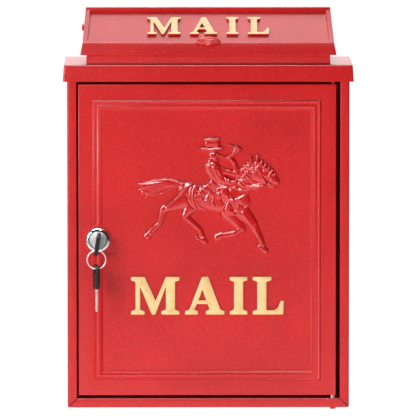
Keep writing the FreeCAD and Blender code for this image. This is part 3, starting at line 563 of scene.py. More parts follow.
def flap_recess():
    """Cutter for the recess, whose mouth is rounded and whose upper wall undercuts the crest rib."""
    length = hypot(CREST[0] - SLOPE[0], CREST[1] - SLOPE[1])
    low_half = flap_half_width(SLOPE[1]) - BORDER
    high_half = flap_half_width(CREST[1]) - BORDER
    mouth = 0.9
    levels = [(-RECESS, 0.35)]
    levels += [(-mouth + a, b - mouth) for b, a in arc(0.0, 0.0, mouth, 0, 90, 5)]
    levels.append((12.0, -mouth))
    rings = []
    for out, inset in levels:
        low = low_half - inset, BORDER + inset
        high = high_half - inset, length + 0.5 - max(inset, 0.0)
        corners = ((-1, low), (1, low), (1, high), (-1, high))
        rings.append([on_slope(side * x, up, out) for side, (x, up) in corners])
    return loft(rings, caps=True)


def grip_back(z):
    """How far back the grip's edge must reach at a height to end inside the casting's wall."""
    above = z - SLOPE[1]
    if above < 0:
        return SLOPE[0] + above * (SLOPE[0] - LIP[0]) / (SLOPE[1] - LIP[1]) + 1.2
    over_recess = RECESS / sin(SLOPE_ANGLE) + 0.8
    return SLOPE[0] + above / tan(SLOPE_ANGLE) + 1.2 + (over_recess - 1.2) * smoothstep(above / 3.0)


def add_grip(bm):
    """Lens-shaped finger grip over the top of the lip, with nested ribs like a shell's."""
    half_width = 13.4
    rise = 6.3
    drop = 3.0
    ribs = 5
    face = SLOPE[0] - 1.9
    foot = SLOPE[1] - drop
    outline = [(-half_width * cos(pi * k / 48), rise * sin(pi * k / 48) + drop) for k in range(48)]
    for k in range(48):
        x = half_width * (1 - k / 24)
        outline.append((x, drop * (x / half_width) ** 2))
    rings = [[mm(x, grip_back(foot + z), foot + z) for x, z in outline],
             [mm(x, face + 0.35, foot + z) for x, z in outline]]
    for i in range(41):
        scale = 1.0 - i / 41
        rib = 0.45 * abs(sin(pi * ribs * scale)) + 0.8 * (1 - scale)
        rings.append([mm(x * scale, face - rib, foot + z * scale) for x, z in outline])
    add_loft(bm, rings, caps=True)


# ---------------------------------------------------------------- sheet steel

SHEET = 1.2
BODY_HALF = 151.2
BODY_FRONT = -105.5
FLANGE = 10.0
LIP_DEPTH = 16.0
BEND = 2.0
BODY_TOP = 369.0


def u_shape(half, foot, end, radius):
    """Points down one side, round two corners and up the other."""
    radius = max(radius, 0.02)
    return ([(-half, end)] + arc(-half + radius, foot + radius, radius, 180, 270, 6)
            + arc(half - radius, foot + radius, radius, 270, 360, 6) + [(half, end)])


def make_body():
    """Sides and bottom folded from one sheet: front flanges, lips and open mitres at the bottom corners."""
    inner_bend = 1.0
    pin_bore = 2.0
    half_gap = 0.28
    outside = [(0.0, -0.15)]
    outside += [(BEND - a, BODY_FRONT + BEND - b) for a, b in arc(0, 0, BEND, 0, 90, 6)]
    outside += [(FLANGE - inner_bend + a, BODY_FRONT + inner_bend - b)
                for b, a in arc(0, 0, inner_bend, 0, 90, 4)]
    lip_back = BODY_FRONT + LIP_DEPTH
    outside += [(FLANGE, lip_back), (FLANGE - SHEET, lip_back), (FLANGE - SHEET, BODY_FRONT + SHEET),
                (SHEET, BODY_FRONT + SHEET), (SHEET, 0.0), (0.15, 0.0)]
    rings = [[mm(x, y, z) for x, z in u_shape(BODY_HALF - inset, inset, BODY_TOP - 0.2, BEND - inset)]
             for inset, y in outside]
    bm = loft(rings, closed_tube=True, wrap=False)
    bm.verts.ensure_lookup_table()
    length = len(rings[0])
    for end in (0, length - 1):
        bm.faces.new([bm.verts[k * length + end] for k in range(len(rings))])
    cutters = []
    for side in (-1, 1):
        lean = side * half_gap
        x0, z0 = side * (BODY_HALF - FLANGE - 0.6), FLANGE + 0.6
        x1, z1 = side * (BODY_HALF - 1.3), 1.3
        slit = [(x0 - half_gap, z0 - lean), (x0 + half_gap, z0 + lean),
                (x1 + half_gap, z1 + lean), (x1 - half_gap, z1 - lean)]
        cutters.append(loft([[mm(x, y, z) for x, z in slit] for y in (BODY_FRONT - 1.5, BODY_FRONT + 1.5)],
                            caps=True))
    cutters.append(rod(pin_bore, at(HINGE_X, HINGE_Y, -2), at(HINGE_X, HINGE_Y, 11)))
    finish_mesh("body_sheet", cut(bm, cutters), "cabinet", "body_wrap", "red_paint", 40, PAINT)


def pan_ring(half, front, z, back=0.0, radius=2.0):
    """Closed outline of the roof at a height, with rounded front corners."""
    return [mm(x, y, z) for x, y in u_shape(half, front, back, radius)]


def make_roof():
    """Pan of sheet steel with a hanging fascia, rounded bends and the opening for the letters."""
    half = 154.5
    flare = 1.0
    front = -110.0
    low = 352.1
    bend = 1.5
    mouth_half = 129.2
    mouth_front = -104.1
    beyond = 5.0
    corner = 0.8
    wide = half + flare
    lean = front - flare / 2
    rings = [pan_ring(wide - 0.25, lean + 0.25, low), pan_ring(wide, lean, low + 0.25)]
    for k in range(7):
        turn = radians(15 * k)
        inset = bend * (1 - cos(turn))
        rings.append(pan_ring(half - inset, front + inset, ROOF_TOP - bend + bend * sin(turn)))
    hollow = [pan_ring(half - SHEET, front + SHEET, BODY_TOP, beyond, corner),
              pan_ring(wide - SHEET, lean + SHEET, low + 0.25, beyond, corner),
              pan_ring(wide - SHEET + 0.25, lean + SHEET - 0.25, low - 1.0, beyond, corner)]
    mouth = [pan_ring(mouth_half, mouth_front, z, -SHEET, 0.0) for z in (BODY_TOP - 1.0, ROOF_TOP + 1.0)]
    bm = cut(loft(rings, caps=True), [loft(hollow, caps=True), loft(mouth, caps=True)])
    finish_mesh("roof_sheet", bm, "cabinet", "roof_cap", "red_paint", 40, PAINT)


def make_collar():
    """The CAD collar with its sharp edges slightly rounded."""
    bm = node_copy("hopper_collar")
    crisp = [edge for edge in bm.edges
             if len(edge.link_faces) == 2 and edge.calc_face_angle(0.0) > radians(28)]
    round_edges(bm, crisp, 1.3)
    finish_mesh("collar_sheet", bm, "cabinet", "hopper_collar", "red_paint", 35, PAINT)


# ---------------------------------------------------------------- lock and keys

LOCK_FACE = DOOR_FACE - 8.0
LOCK_BACK = DOOR_FACE + 17.0
LOCK_ROLL = radians(9.0)
BOW_BACK = LOCK_FACE - 0.6
BOW_LENGTH = 26.0
BOW_THICKNESS = 4.4
HOLE_R = 3.2
HOLE_LENGTH = 15.0
BOW_DROP = 2.5
HOLE_INSET = 6.5
RING_R = 9.9
RING_SLACK = 1.3
SPARE_YAW = radians(11.0)
RING_Y = BOW_BACK - BOW_LENGTH + HOLE_INSET
RING_TOP = RING_SLACK - HOLE_LENGTH / 2 - BOW_DROP
RING_X = LOCK_X + RING_TOP * sin(LOCK_ROLL)
SPARE_PIVOT = LOCK_Z + RING_TOP - 2 * RING_R


def lathe(profile):
    """Turn (radius, y) points about the lock's axis; the profile is a closed outline."""
    return loft([[(LOCK_CENTRE + Vector((cos(turn), 0, -sin(turn))) * radius + Vector((0, y, 0))) * MM
                  for turn in turns(96)] for radius, y in profile], closed_tube=True)


def make_lock_housing():
    """Chromed bezel with a domed shoulder and a rolled rim round the plug, on a threaded barrel."""
    thread_r = 9.0
    pitch = 1.0
    profile = [(9.05, LOCK_FACE + 0.9), (9.05, LOCK_FACE + 0.5)]
    profile += arc(9.6, LOCK_FACE + 0.55, 0.5, 180, 270, 4)
    profile += [(10.3, LOCK_FACE + 0.1)]
    profile += [(10.3 + 3.1 * sin(radians(t)), LOCK_FACE + 3.4 - 3.3 * cos(radians(t)))
                for t in range(15, 91, 15)]
    profile += [(13.4, DOOR_FACE - 0.3), (13.1, DOOR_FACE - 0.02), (thread_r, DOOR_FACE - 0.02)]
    along = DOOR_FACE + 0.2
    while along < LOCK_BACK - 1.2:
        profile += [(thread_r, along), (thread_r - pitch / 2, along + pitch / 2)]
        along += pitch
    profile += [(thread_r, LOCK_BACK - 0.6), (8.6, LOCK_BACK), (6.05, LOCK_BACK), (6.05, LOCK_FACE + 2.2),
                (9.05, LOCK_FACE + 2.2)]
    finish_mesh("lock_bezel", lathe(profile), "door", "lock_housing", "lock_chrome", 32, CHROME)


def rolled(point):
    """Lean a place about the lock's axis to the keyway's angle."""
    return Matrix.Rotation(LOCK_ROLL, 3, "Y") @ (point - LOCK_CENTRE) + LOCK_CENTRE


def lock_block(half_x, half_z, y0, y1):
    """A block along the lock's axis, leaning with the keyway."""
    corners = [(-half_x, -half_z), (half_x, -half_z), (half_x, half_z), (-half_x, half_z)]
    return loft([[rolled(at(LOCK_X + x, y, LOCK_Z + z)) * MM for x, z in corners] for y in (y0, y1)],
                caps=True)


def make_plug():
    """Plug with a ring groove in its face, the keyway and the square tail for the cam."""
    face = ((0.0, 0.35), (3.0, 0.3), (6.4, 0.15), (6.9, 0.5), (7.4, 0.5), (7.8, 0.05), (8.2, 0.02),
            (8.6, 0.0), (8.95, 0.3), (8.95, 2.0), (6.0, 2.0))
    end = LOCK_BACK + 0.2
    bm = lathe([(radius, LOCK_FACE + y) for radius, y in face] + [(6.0, end), (0.0, end)])
    bmesh.ops.remove_doubles(bm, verts=bm.verts, dist=WELD)
    bm = cut(bm, [lock_block(1.02, 3.62, LOCK_FACE - 1, BOW_BACK + 24.8)])
    tail = bpy.data.meshes.new("tail")
    lock_block(3, 3, LOCK_BACK - 1, LOCK_BACK + 2.2).to_mesh(tail)
    bm.from_mesh(tail)
    finish_mesh("lock_face", bm, "lock_barrel", "lock_plug", "lock_face", 32, SATIN)


def outline_at(polygon, centre, steps):
    """Points of a convex outline seen from a point inside it, at even angles."""
    points = []
    for turn in turns(steps):
        ray = Vector((cos(turn), sin(turn)))
        reaches = []
        for i in range(len(polygon)):
            a = Vector(polygon[i - 1]) - centre
            edge = Vector(polygon[i]) - Vector(polygon[i - 1])
            cross = ray.x * edge.y - ray.y * edge.x
            if abs(cross) < 1e-9:
                continue
            reach = (a.x * edge.y - a.y * edge.x) / cross
            along = (a.x * ray.y - a.y * ray.x) / cross
            if reach > 0 and -1e-6 <= along <= 1 + 1e-6:
                reaches.append(reach)
        points.append(centre + ray * min(reaches))
    return points


def rounded_box_outline(x0, x1, y0, y1, radius):
    centres = ((x1 - radius, y1 - radius), (x0 + radius, y1 - radius), (x0 + radius, y0 + radius),
               (x1 - radius, y0 + radius))
    return [point for k, (x, y) in enumerate(centres) for point in arc(x, y, radius, 90 * k, 90 * k + 90, 8)]


def make_bow(name, height, corner, drop, body, node, place):
    """Moulded bow with soft edges, a hole for the ring and a sunk panel on each side."""
    steps = 120
    middle = Vector((HOLE_INSET - BOW_LENGTH, 0.0))
    soft = 1.0
    half = BOW_THICKNESS / 2
    sunk = 0.35
    rim = 0.7

    def loop(grow, out, hole):
        """The bow's outline, or the hole's, grown and moved out from the middle."""
        if hole:
            polygon = rounded_box_outline(middle.x - HOLE_R - grow, middle.x + HOLE_R + grow,
                                          -HOLE_LENGTH / 2 - grow, HOLE_LENGTH / 2 + grow,
                                          HOLE_R + grow - 0.01)
        else:
            polygon = rounded_box_outline(-BOW_LENGTH - grow, grow, -height / 2 - grow, height / 2 + grow,
                                          max(corner + grow, 0.5))
        return [place(Vector((out, p.x, p.y - drop))) * MM for p in outline_at(polygon, middle, steps)]

    front = [(-soft * (1 - cos(turn)), half - soft + soft * sin(turn), False)
             for turn in map(radians, range(0, 91, 15))]
    front += [(-soft - 1.0, half, False), (-soft - 1.4, half - sunk, False), (2.2, half - sunk, True),
              (1.8, half, True)]
    front += [(rim * (1 - cos(turn)), half - rim + rim * sin(turn), True)
              for turn in map(radians, (90, 60, 30, 0))]
    rings = [loop(grow, out, hole) for grow, out, hole in front]
    rings += [loop(grow, -out, hole) for grow, out, hole in reversed(front)]
    finish_mesh(name, loft(rings, closed_tube=True), body, node, "black_plastic", 30, BLACK)


def make_blade(name, body, node, place):
    """Key blade with a bevelled tip, wafer cuts along one edge and a milled groove on each side."""
    length = 24.5
    half = 0.9
    tall = 3.5
    chamfer = 0.25
    cuts = ((6.0, 1.0), (9.5, 1.6), (13.0, 0.7), (16.5, 1.4), (19.7, 0.9))
    top = [(0.0, tall)]
    for centre, depth in cuts:
        top += [(centre - 1.5, tall), (centre - 0.6, tall - depth), (centre + 0.6, tall - depth),
                (centre + 1.5, tall)]
    top += [(length - 3.0, tall), (length, tall - 3.0), (length, -tall + 2.5), (length - 2.5, -tall),
            (0.0, -tall)]
    levels = [(-half, chamfer), (-half + chamfer, 0.0), (half - chamfer, 0.0), (half, chamfer)]
    bm = loft([[place(Vector((out, y, z))) * MM for y, z in offset_outline(top, inset)]
               for out, inset in levels], caps=True)
    grooves = []
    for side, level in ((1, -1.1), (-1, 0.6)):
        deep = side * (half - 0.45)
        clear = side * (half + 1)
        corners = [(deep, level - 0.45), (clear, level - 0.6), (clear, level + 0.6), (deep, level + 0.45)]
        grooves.append(loft([[place(Vector((x, y, z))) * MM for x, z in corners] for y in (-1.0, length + 1)],
                            caps=True))
    finish_mesh(name, cut(bm, grooves), body, node, "key_steel", 25, KEY_STEEL)


def in_lock(point):
    """Place a key point, made along +y from the bow's end, in the lock."""
    return rolled(at(LOCK_X, BOW_BACK, LOCK_Z) + point)


def on_ring(point):
    """Place a key point on the spare key, which hangs from the ring with its blade down."""
    hung = Matrix.Rotation(radians(-90), 3, "X") @ point
    hung = Matrix.Rotation(SPARE_YAW, 3, "Z") @ hung
    bow_end = SPARE_PIVOT + RING_SLACK - HOLE_R + HOLE_INSET - BOW_LENGTH
    return hung + at(RING_X, RING_Y, bow_end)


def make_ring():
    """Split ring: two flattened turns of springy wire lying close together."""
    centre = at(RING_X, RING_Y, LOCK_Z + RING_TOP - RING_R)
    axis = Vector((0, 1, 0))
    wire_height = 0.58
    wire_depth = 0.30
    offset = 0.28
    steps = 400
    rings = []
    for k in range(steps + 1):
        t = k / steps
        turn = tau * 2 * t + radians(20)
        shift = offset * (2 * smoothstep((t - 0.46) / 0.08) - 1)
        out = Vector((cos(turn), 0, sin(turn)))
        rings.append([(centre + axis * shift + out * (RING_R + wire_height * cos(around))
                       + axis * (wire_depth * sin(around))) * MM for around in turns(10)])
    finish_mesh("split_ring", loft(rings, caps=True), "ring", "key_ring", "key_steel", 40, KEY_STEEL)


# ---------------------------------------------------------------- relief

# A rider with a post horn on a galloping horse, of no one in particular, in millimetres across and up from
# the relief's middle. A limb has two ends, each with its half-thickness, and a height.
RELIEF_MIDDLE = (0.6, 229.5)

HORSE_LIMBS = [
    (-21.5, 1.5, 13, -15, -1.5, 14, 4.4),  # rump
    (-17, -2, 13.5, 25, -6, 14.2, 3.8),  # barrel
    (27, 1, 11, 31.5, -6.5, 12.8, 4.4),  # chest
    (29.5, 4, 12, 45.5, 21.5, 10, 4),  # neck
    (-26, -4.5, 10.8, -43, -13, 5, 4.6),  # off hind leg
    (-43, -13, 5, -49.6, -15, 4.2, 3.6),
    (-49.6, -15.5, 4.4, -53.4, -30, 3.5, 3.3),
    (-53.4, -30, 3.7, -61, -37, 3.8, 3.1),
    (-61.5, -37.5, 3.7, -66.5, -44, 4.5, 3.4),
    (-19, -11, 8, -26.5, -21.5, 3.9, 4),  # near hind leg
    (-26, -22.5, 4, -10.5, -36.4, 3.3, 3.3),
    (-10.5, -36.4, 3, -6, -45.5, 2.9, 3),
    (-13.5, -45, 2.6, -4.6, -49.8, 3.8, 3.2),
    (20, -19, 7.8, 34.8, -35, 4.3, 3.5),  # tucked foreleg
    (35, -36, 4.3, 27.5, -41, 3.4, 3.3),
    (27.5, -41, 3.4, 14, -43.4, 3.4, 3.1),
    (13.8, -43.2, 4, 8.6, -45.6, 4.6, 3.5),
    (33, -15, 9, 46.5, -30, 5.6, 4.4),  # reaching foreleg
    (46.5, -30.2, 5.3, 55, -47, 3.4, 3.7),
    (55, -47, 3.4, 57, -53, 3.4, 3.3),
    (54, -55, 3.1, 60, -59.6, 4, 3.4),
    (50, 25, 9.4, 56, 20, 8.4, 4.5),  # cheek
    (40, 11, 8, 56, 13.6, 6, 3.7),  # jaw
    (53, 28, 7, 68.4, 18.6, 5.2, 4),  # nose
    (68.4, 16.8, 5.2, 71, 15, 4.8, 4.6),  # muzzle
    (64.4, 11.2, 3.2, 69.4, 9.8, 2.7, 3.7),  # lower lip
    (46.4, 34, 3.2, 43.4, 43, 1.1, 4.6),  # ears
    (51.2, 34.6, 3, 51.8, 44, 1, 4.2),
]

TAIL_LIMBS = [
    (-26, 9.5, 4.4, -34, 12, 4.8, 3),
    (-34, 12, 4.8, -46, 12.6, 6.4, 3.1),
    (-46, 12.6, 6.4, -58, 8.8, 7.2, 3.1),
    (-57, 11.5, 6, -69, 9.5, 4.4, 3),
    (-66, 10.6, 3.4, -76.4, 12.6, 1, 2.6),
    (-60, 6, 5.8, -70.5, 3.4, 3.4, 2.9),
    (-68, 5.6, 3, -75.6, 6.4, 0.9, 2.4),
    (-58, 4, 5, -68.5, -2, 1.4, 2.7),
    (-50, 7, 4.6, -60, -0.6, 1.4, 2.6),
    (-41, 9.5, 3.8, -51, 1.6, 1.2, 2.4),
]

MANE_LIMBS = [
    (32, 16.6, 2.9, 28.2, 13, 1.6, 3.5),
    (34, 20.6, 2.9, 29.4, 18, 1.6, 3.6),
    (36.2, 24.6, 2.9, 31.2, 22.8, 1.6, 3.6),
    (38.8, 28.6, 2.9, 33.6, 27.4, 1.6, 3.7),
    (41.6, 32, 2.8, 36.8, 31.8, 1.5, 3.8),
    (45, 34.6, 2.6, 40.8, 35.8, 1.4, 3.9),
    (55.2, 33.6, 2.6, 56.4, 36.4, 2.1, 4.9),
    (59, 31, 2.6, 60.6, 33.6, 2, 4.9),
    (62.6, 28, 2.5, 64.4, 30.4, 1.9, 4.8),
    (66, 24.8, 2.3, 67.9, 27, 1.7, 4.7),
    (69, 21.6, 2.1, 70.8, 23.6, 1.5, 4.5),
]

RIDER_LIMBS = [
    (-4.2, 60.2, 2, 10, 60.6, 2, 4.4),  # hat: crown's top
    (-0.9, 56, 4.8, 7, 56.2, 4.8, 4.6),  # crown
    (-8, 50.4, 2.3, 2, 49, 3.1, 5.4),  # brim
    (2, 49, 3.1, 13, 51.2, 2.1, 5.4),
    (3.2, 45.6, 5.2, 4.8, 42, 5.2, 4.9),  # head
    (9, 44.2, 1.6, 10.6, 42.8, 1.2, 4),  # nose
    (7, 38.6, 2.3, 8, 38.2, 2, 4.2),  # chin
    (2, 37.4, 4.8, 3, 34.5, 5.6, 4.8),  # neck and collar
    (3, 30.5, 8.4, 7.6, 21.5, 8.6, 5.4),  # back
    (7.6, 21.5, 8.6, 15, 9.5, 8.8, 5.4),
    (13, 27, 4, 30, 22.2, 3.9, 4.3),  # raised arm
    (31, 22.8, 3.9, 26.6, 34.6, 2.9, 4.5),
    (26, 36, 3, 22.2, 40.6, 2.8, 5.2),  # hand
    (6.2, 30.2, 5.7, 12.8, 17.8, 5.1, 6.3),  # near arm
    (12.8, 17.8, 5.1, 24.2, 13.6, 3.8, 6.3),
    (25.4, 14.4, 3.3, 28.4, 15.6, 2.8, 6.3),  # near hand
    (14.4, 5.6, 7.6, 23.6, -4.6, 5.9, 6.2),  # thigh
    (23, -5.6, 5.4, 18.8, -14.6, 4.1, 5.9),  # boot
    (18.6, -15.4, 4, 27.4, -18.6, 2.7, 5.6),  # foot
    (11.8, 42.6, 1.1, 19.4, 40.2, 1.6, 5.2),  # horn
    (19.4, 40.2, 1.6, 26.2, 44.2, 2.6, 5.1),
    (26.2, 44.2, 2.6, 29.4, 49.2, 5, 4.6),
    (22.2, 53.8, 1.3, 34.8, 49.6, 1.3, 5.2),  # horn's rim
    (4, 12.5, 6.4, -6.5, 4.5, 6.2, 5.1),  # coat tails
    (-6.5, 4.5, 6.2, -12, -2.5, 4, 4.9),
    (2, 2.5, 5, -3.5, -6, 3.6, 4.7),
    (9.6, 6, 4, 11, 0, 4.4, 6.3),  # satchel
]

# A line has a half-width, how far it stands out (or is cut in), and its path.
RELIEF_LINES = [
    (0.8, -1.16, (-5.5, 13), (-1, 9.5), (3.5, 5.5)),  # folds of the coat
    (0.8, -1.16, (-9, 8.5), (-4.5, 4), (0.5, -0.5)),
    (0.8, -1.16, (-12, 3.5), (-8, -0.5), (-4, -4)),
    (0.7, -0.87, (-2, 46.8), (3, 45.8), (9.5, 47.6)),  # under the brim
    (0.8, 0.72, (-4.6, 53), (2.5, 52.4), (10.2, 53.4)),  # hat band
    (0.8, 0.87, (-2.6, 36.8), (2, 34.4), (7, 35)),  # collar
    (0.6, 0.72, (9.8, 33), (13.5, 26), (16.5, 20.5)),  # coat's front edge
    (0.6, -0.87, (8.5, 26.5), (10, 24)),  # creases of the sleeve
    (0.6, -0.87, (9.6, 22.4), (11.8, 21.2)),
    (0.6, -0.87, (16.5, 19.5), (17.6, 15.2)),
    (0.8, 0.72, (21, 17.9), (22.2, 12.9)),  # cuff
    (0.8, 0.87, (7.5, 11.5), (12, 8), (20, 9.5)),  # belt
    (0.7, 0.72, (19.6, -0.8), (25.4, -6.6), (27.6, -5)),  # boot's top
    (0.7, 0.87, (16.4, -17.8), (21, -20.4), (28.4, -19.8)),  # stirrup
    (0.5, 0.72, (21, -13.5), (25.5, -10), (27, -4)),
    (0.5, -0.72, (7, 5.5), (10.2, 3.4), (13.6, 5.2)),  # satchel's flap
    (0.9, 1.01, (-16.5, 7), (-17.5, -3), (-14, -14), (-2, -18.5), (10, -21), (16, -20)),
    (0.6, 0.72, (-14, 2), (-14.6, -4), (-11.8, -11.6), (-1, -15.6), (9.5, -17.6), (13.6, -17)),
    (0.6, 1.01, (27.5, 15.4), (38, 10), (50, 9.5), (60, 11), (66, 12)),  # reins
    (0.6, 0.87, (27.5, 16.6), (36, 16), (44, 19)),
    (0.7, 1, (48.6, 35.4), (55, 25), (61, 13)),  # bridle
    (0.6, 0.8, (52.6, 35.4), (60.5, 29), (67.5, 22.6)),
    (0.8, 1, (66, 25), (63.8, 18), (62.6, 10)),
    (0.7, 0.8, (54, 34), (50.6, 28), (46, 24)),
    (0.9, 1.01, (44.6, 5.5), (38, 0.5), (31, -3.5), (22, -5)),  # breast strap
    (0.8, 0.87, (33, -4), (31, -11), (30.5, -18)),
    (1, 0.72, (-18, 12.5), (-26.5, 9), (-31.5, 1.5), (-38, -6), (-44.5, -10.6)),  # haunch
    (1.2, -0.87, (-17, -13), (-22, -8), (-24, 0)),
    (1.1, -0.87, (20.5, 8), (22, 0), (24, -9), (28, -15)),  # shoulder
    (1, -0.72, (41, -3), (38.5, -12), (34, -18)),
    (0.8, 0.58, (37, -20), (42.5, -27.5), (48, -34)),  # foreleg's tendon
    (0.6, 0.58, (49.5, -36), (53, -43), (56, -50)),
    (0.6, 0.58, (-24.6, -24.2), (-17.5, -30), (-11, -36.2)),
    (0.6, 0.58, (-50.8, -17), (-52.5, -24), (-54, -30)),
    (0.6, -0.87, (-59.8, -39.6), (-63, -36.4)),  # hooves' upper edges
    (0.6, -0.72, (-8.6, -44.6), (-3.6, -45.4)),
    (0.6, -0.72, (15.8, -47), (14.6, -41.6)),
    (0.6, -0.72, (51.8, -53.6), (58.2, -55.6)),
    (0.5, -0.9, (64.6, 14), (69, 12.6), (73.8, 12.8)),  # mouth
    (0.8, -0.8, (56.5, 22), (62.5, 17)),  # cheekbone
    (0.8, 0.9, (-3, 33.5), (-3.6, 27), (0.6, 19), (6, 11)),  # coat's back seam
    (0.8, -0.9, (4.5, 17), (9.5, 12.5), (15.5, 12)),
    (0.9, 0.9, (-16, 9), (-12, 5.5), (-8.5, 1), (-6, -6.5)),
    (0.8, 0.8, (-19.5, 8), (-20.5, 1)),
    (0.8, 0.9, (4.6, -1.5), (3.6, -9), (7.6, -12), (13.4, -11)),
    (0.8, -0.8, (13.5, -4), (16.5, -9)),
    (0.7, 0.9, (26.6, 9), (32, 6), (38.5, 7.6)),
    (0.7, -0.7, (28, -9.5), (33, -9), (38.6, -11.8)),
    (0.8, -0.9, (42, 14.5), (48, 12), (56, 13.6)),  # throat
    (0.7, -0.8, (57, 31.4), (63, 26.4), (69, 21.2)),  # face
    (1, 0.7, (-36, -2), (-30, 3), (-25.6, 9)),
    (0.7, -0.7, (-61.8, -43.6), (-67.4, -40.6)),
    (0.7, -0.6, (-12, -13.6), (-6, -17.6), (6, -19.4)),  # belly
]

# A dot has its place, its half-width and how far it stands out.
RELIEF_DOTS = [
    (59.2, 27.4, 1.3, 1), (73.2, 16.8, 0.9, -0.8), (6.8, 44.6, 0.8, -0.35), (2.2, 43, 1.2, 0.5),
    (13.2, 24.6, 0.8, 0.6), (14.8, 21.4, 0.8, 0.6), (10.4, 2.4, 0.7, 0.6), (33, -4, 1.7, 0.8),
    (62.6, 10.8, 1.4, 0.9), (-14, 9.5, 1.2, 0.5),
]


def relief_curls():
    """Locks hanging over the neck, and the strands of the tail."""
    lines = []
    for k in range(7):
        t = k / 6
        x, z = 44.8 - 11.5 * t, 35.0 - 18.5 * t
        lines.append((0.95, 1.1, (x, z), (x + 0.4, z - 3.6), (x + 3.6, z - 7.0)))
    for k in range(6):
        rise = 2.1 * k - 5.0
        lines.append((0.8, -0.7, (-31.0, 11.4 + 0.3 * rise), (-42.0, 12.4 + 0.7 * rise), (-53.0, 9.8 + rise),
                      (-66.0, 6.2 + 1.35 * rise)))
    return lines


def from_segment(across, up, x0, z0, x1, z1):
    """How far along a segment its nearest place is, as a share, and how far away that is."""
    run_x = x1 - x0
    run_z = z1 - z0
    t = np.clip(((across - x0) * run_x + (up - z0) * run_z) / (run_x ** 2 + run_z ** 2), 0, 1)
    return t, np.hypot(across - x0 - t * run_x, up - z0 - t * run_z)


def limb_height(across, up, x0, z0, r0, x1, z1, r1, height):
    """Half-round height of a tapering limb inside its outline, and how far outside it lies beyond."""
    t, away = from_segment(across, up, x0, z0, x1, z1)
    radius = r0 + (r1 - r0) * t
    ratio = away / radius
    inside = height * np.sqrt(np.clip(1 - ratio ** 2.4, 0, 1))
    return np.where(ratio < 1, inside, (1 - ratio) * radius)


def smooth_curve(path):
    """Cut the corners of a path twice."""
    for _ in range(2):
        curve = [path[0]]
        for (x0, z0), (x1, z1) in zip(path, path[1:]):
            curve += [(0.75 * x0 + 0.25 * x1, 0.75 * z0 + 0.25 * z1),
                      (0.25 * x0 + 0.75 * x1, 0.25 * z0 + 0.75 * z1)]
        path = curve + [path[-1]]
    return path


def soft_union(heights, softness):
    stack = np.stack(heights)
    top = stack.max(axis=0)
    return top + softness * np.log(np.exp((stack - top) / softness).sum(axis=0))


def relief_heights(across, up):
    groups = ((HORSE_LIMBS, 0.28), (TAIL_LIMBS, 0.22), (MANE_LIMBS, 0.12), (RIDER_LIMBS, 0.16))
    heights = soft_union([soft_union([limb_height(across, up, *limb) for limb in limbs], softness)
                          for limbs, softness in groups], 0.08)
    on_figure = np.clip(heights / 1.2, 0, 1)
    for width, rise, *path in RELIEF_LINES + relief_curls():
        curve = smooth_curve(path)
        away = np.min([from_segment(across, up, *a, *b)[1] for a, b in zip(curve, curve[1:])], axis=0)
        heights = heights + rise * np.exp(-(away / width) ** 2) * on_figure
    for x, z, width, rise in RELIEF_DOTS:
        heights = heights + rise * np.exp(-(np.hypot(across - x, up - z) / width) ** 2) * on_figure
    return heights


def make_relief():
    """The relief as one closed casting whose edge runs just under the door's face."""
    step = 0.5
    foot = 0.4
    across, up = np.meshgrid(np.arange(-79.0, 76.5, step), np.arange(-65.0, 65.0, step), indexing="ij")
    heights = relief_heights(across, up)
    # Where the figure stands out, each place is drawn a little towards its neighbours.
    inner = heights[1:-1, 1:-1]
    around = (heights[:-2, 1:-1] + heights[2:, 1:-1] + heights[1:-1, :-2] + heights[1:-1, 2:]) / 4
    heights[1:-1, 1:-1] = np.where(inner > 0.6, 0.7 * inner + 0.3 * around, inner)
    kept = heights > -0.5 * step
    cells = kept[:-1, :-1] | kept[1:, :-1] | kept[:-1, 1:] | kept[1:, 1:]
    bm = bmesh.new()
    tops = {}
    feet = {}

    def vertex(store, i, j, depth):
        if (i, j) not in store:
            store[i, j] = bm.verts.new(mm(RELIEF_MIDDLE[0] + across[i, j], DOOR_FACE - depth,
                                          RELIEF_MIDDLE[1] + up[i, j]))
        return store[i, j]

    corners = ((0, 0), (1, 0), (1, 1), (0, 1))
    filled = [tuple(cell) for cell in np.argwhere(cells).tolist()]
    for i, j in filled:
        bm.faces.new([vertex(tops, i + a, j + b, max(heights[i + a, j + b], -foot)) for a, b in corners])
        bm.faces.new([vertex(feet, i + a, j + b, -foot - 0.3) for a, b in reversed(corners)])
    sides = {(-1, 0): ((0, 0), (0, 1)), (1, 0): ((1, 1), (1, 0)),
             (0, -1): ((1, 0), (0, 0)), (0, 1): ((0, 1), (1, 1))}
    inside = set(filled)
    for i, j in filled:
        for (di, dj), (first, second) in sides.items():
            if (i + di, j + dj) not in inside:
                a = (i + first[0], j + first[1])
                b = (i + second[0], j + second[1])
                bm.faces.new((tops[a], tops[b], feet[b], feet[a]))
    finish_mesh("rider_casting", bm, "door", "rider_relief", "red_paint", 60, RELIEF_PAINT)


make_door()
make_flap()
soft_letters("door_word", "door_letters", (0, -1, 0), "door")
soft_letters("flap_word", "flap_letters", (0, -sin(SLOPE_ANGLE), cos(SLOPE_ANGLE)), "flap")
make_relief()
make_body()
make_roof()
make_collar()
make_lock_housing()
make_plug()
make_bow("key_grip", 24.0, 5.0, BOW_DROP, "key", "key_bow", in_lock)
make_bow("spare_key_grip", 22.0, 6.0, 0.0, "spare_key", "spare_key_bow", on_ring)
make_blade("key_steel_blade", "key", "key_blade", in_lock)
make_blade("spare_key_steel_blade", "spare_key", "spare_key_blade", on_ring)
make_ring()

# ---------------------------------------------------------------- stage, light and camera

def pale_surface():
    recipe = Recipe(bpy.data.materials.new("pale_floor"))
    base = recipe.ramp(recipe.noise(3.0), (0.3, gray(0.86)), (0.7, gray(0.88)))
    recipe.link(base, recipe.inputs["Base Color"])
    recipe.inputs["Roughness"].default_value = 0.9
    recipe.inputs["Specular IOR Level"].default_value = 0.1
    return recipe.material


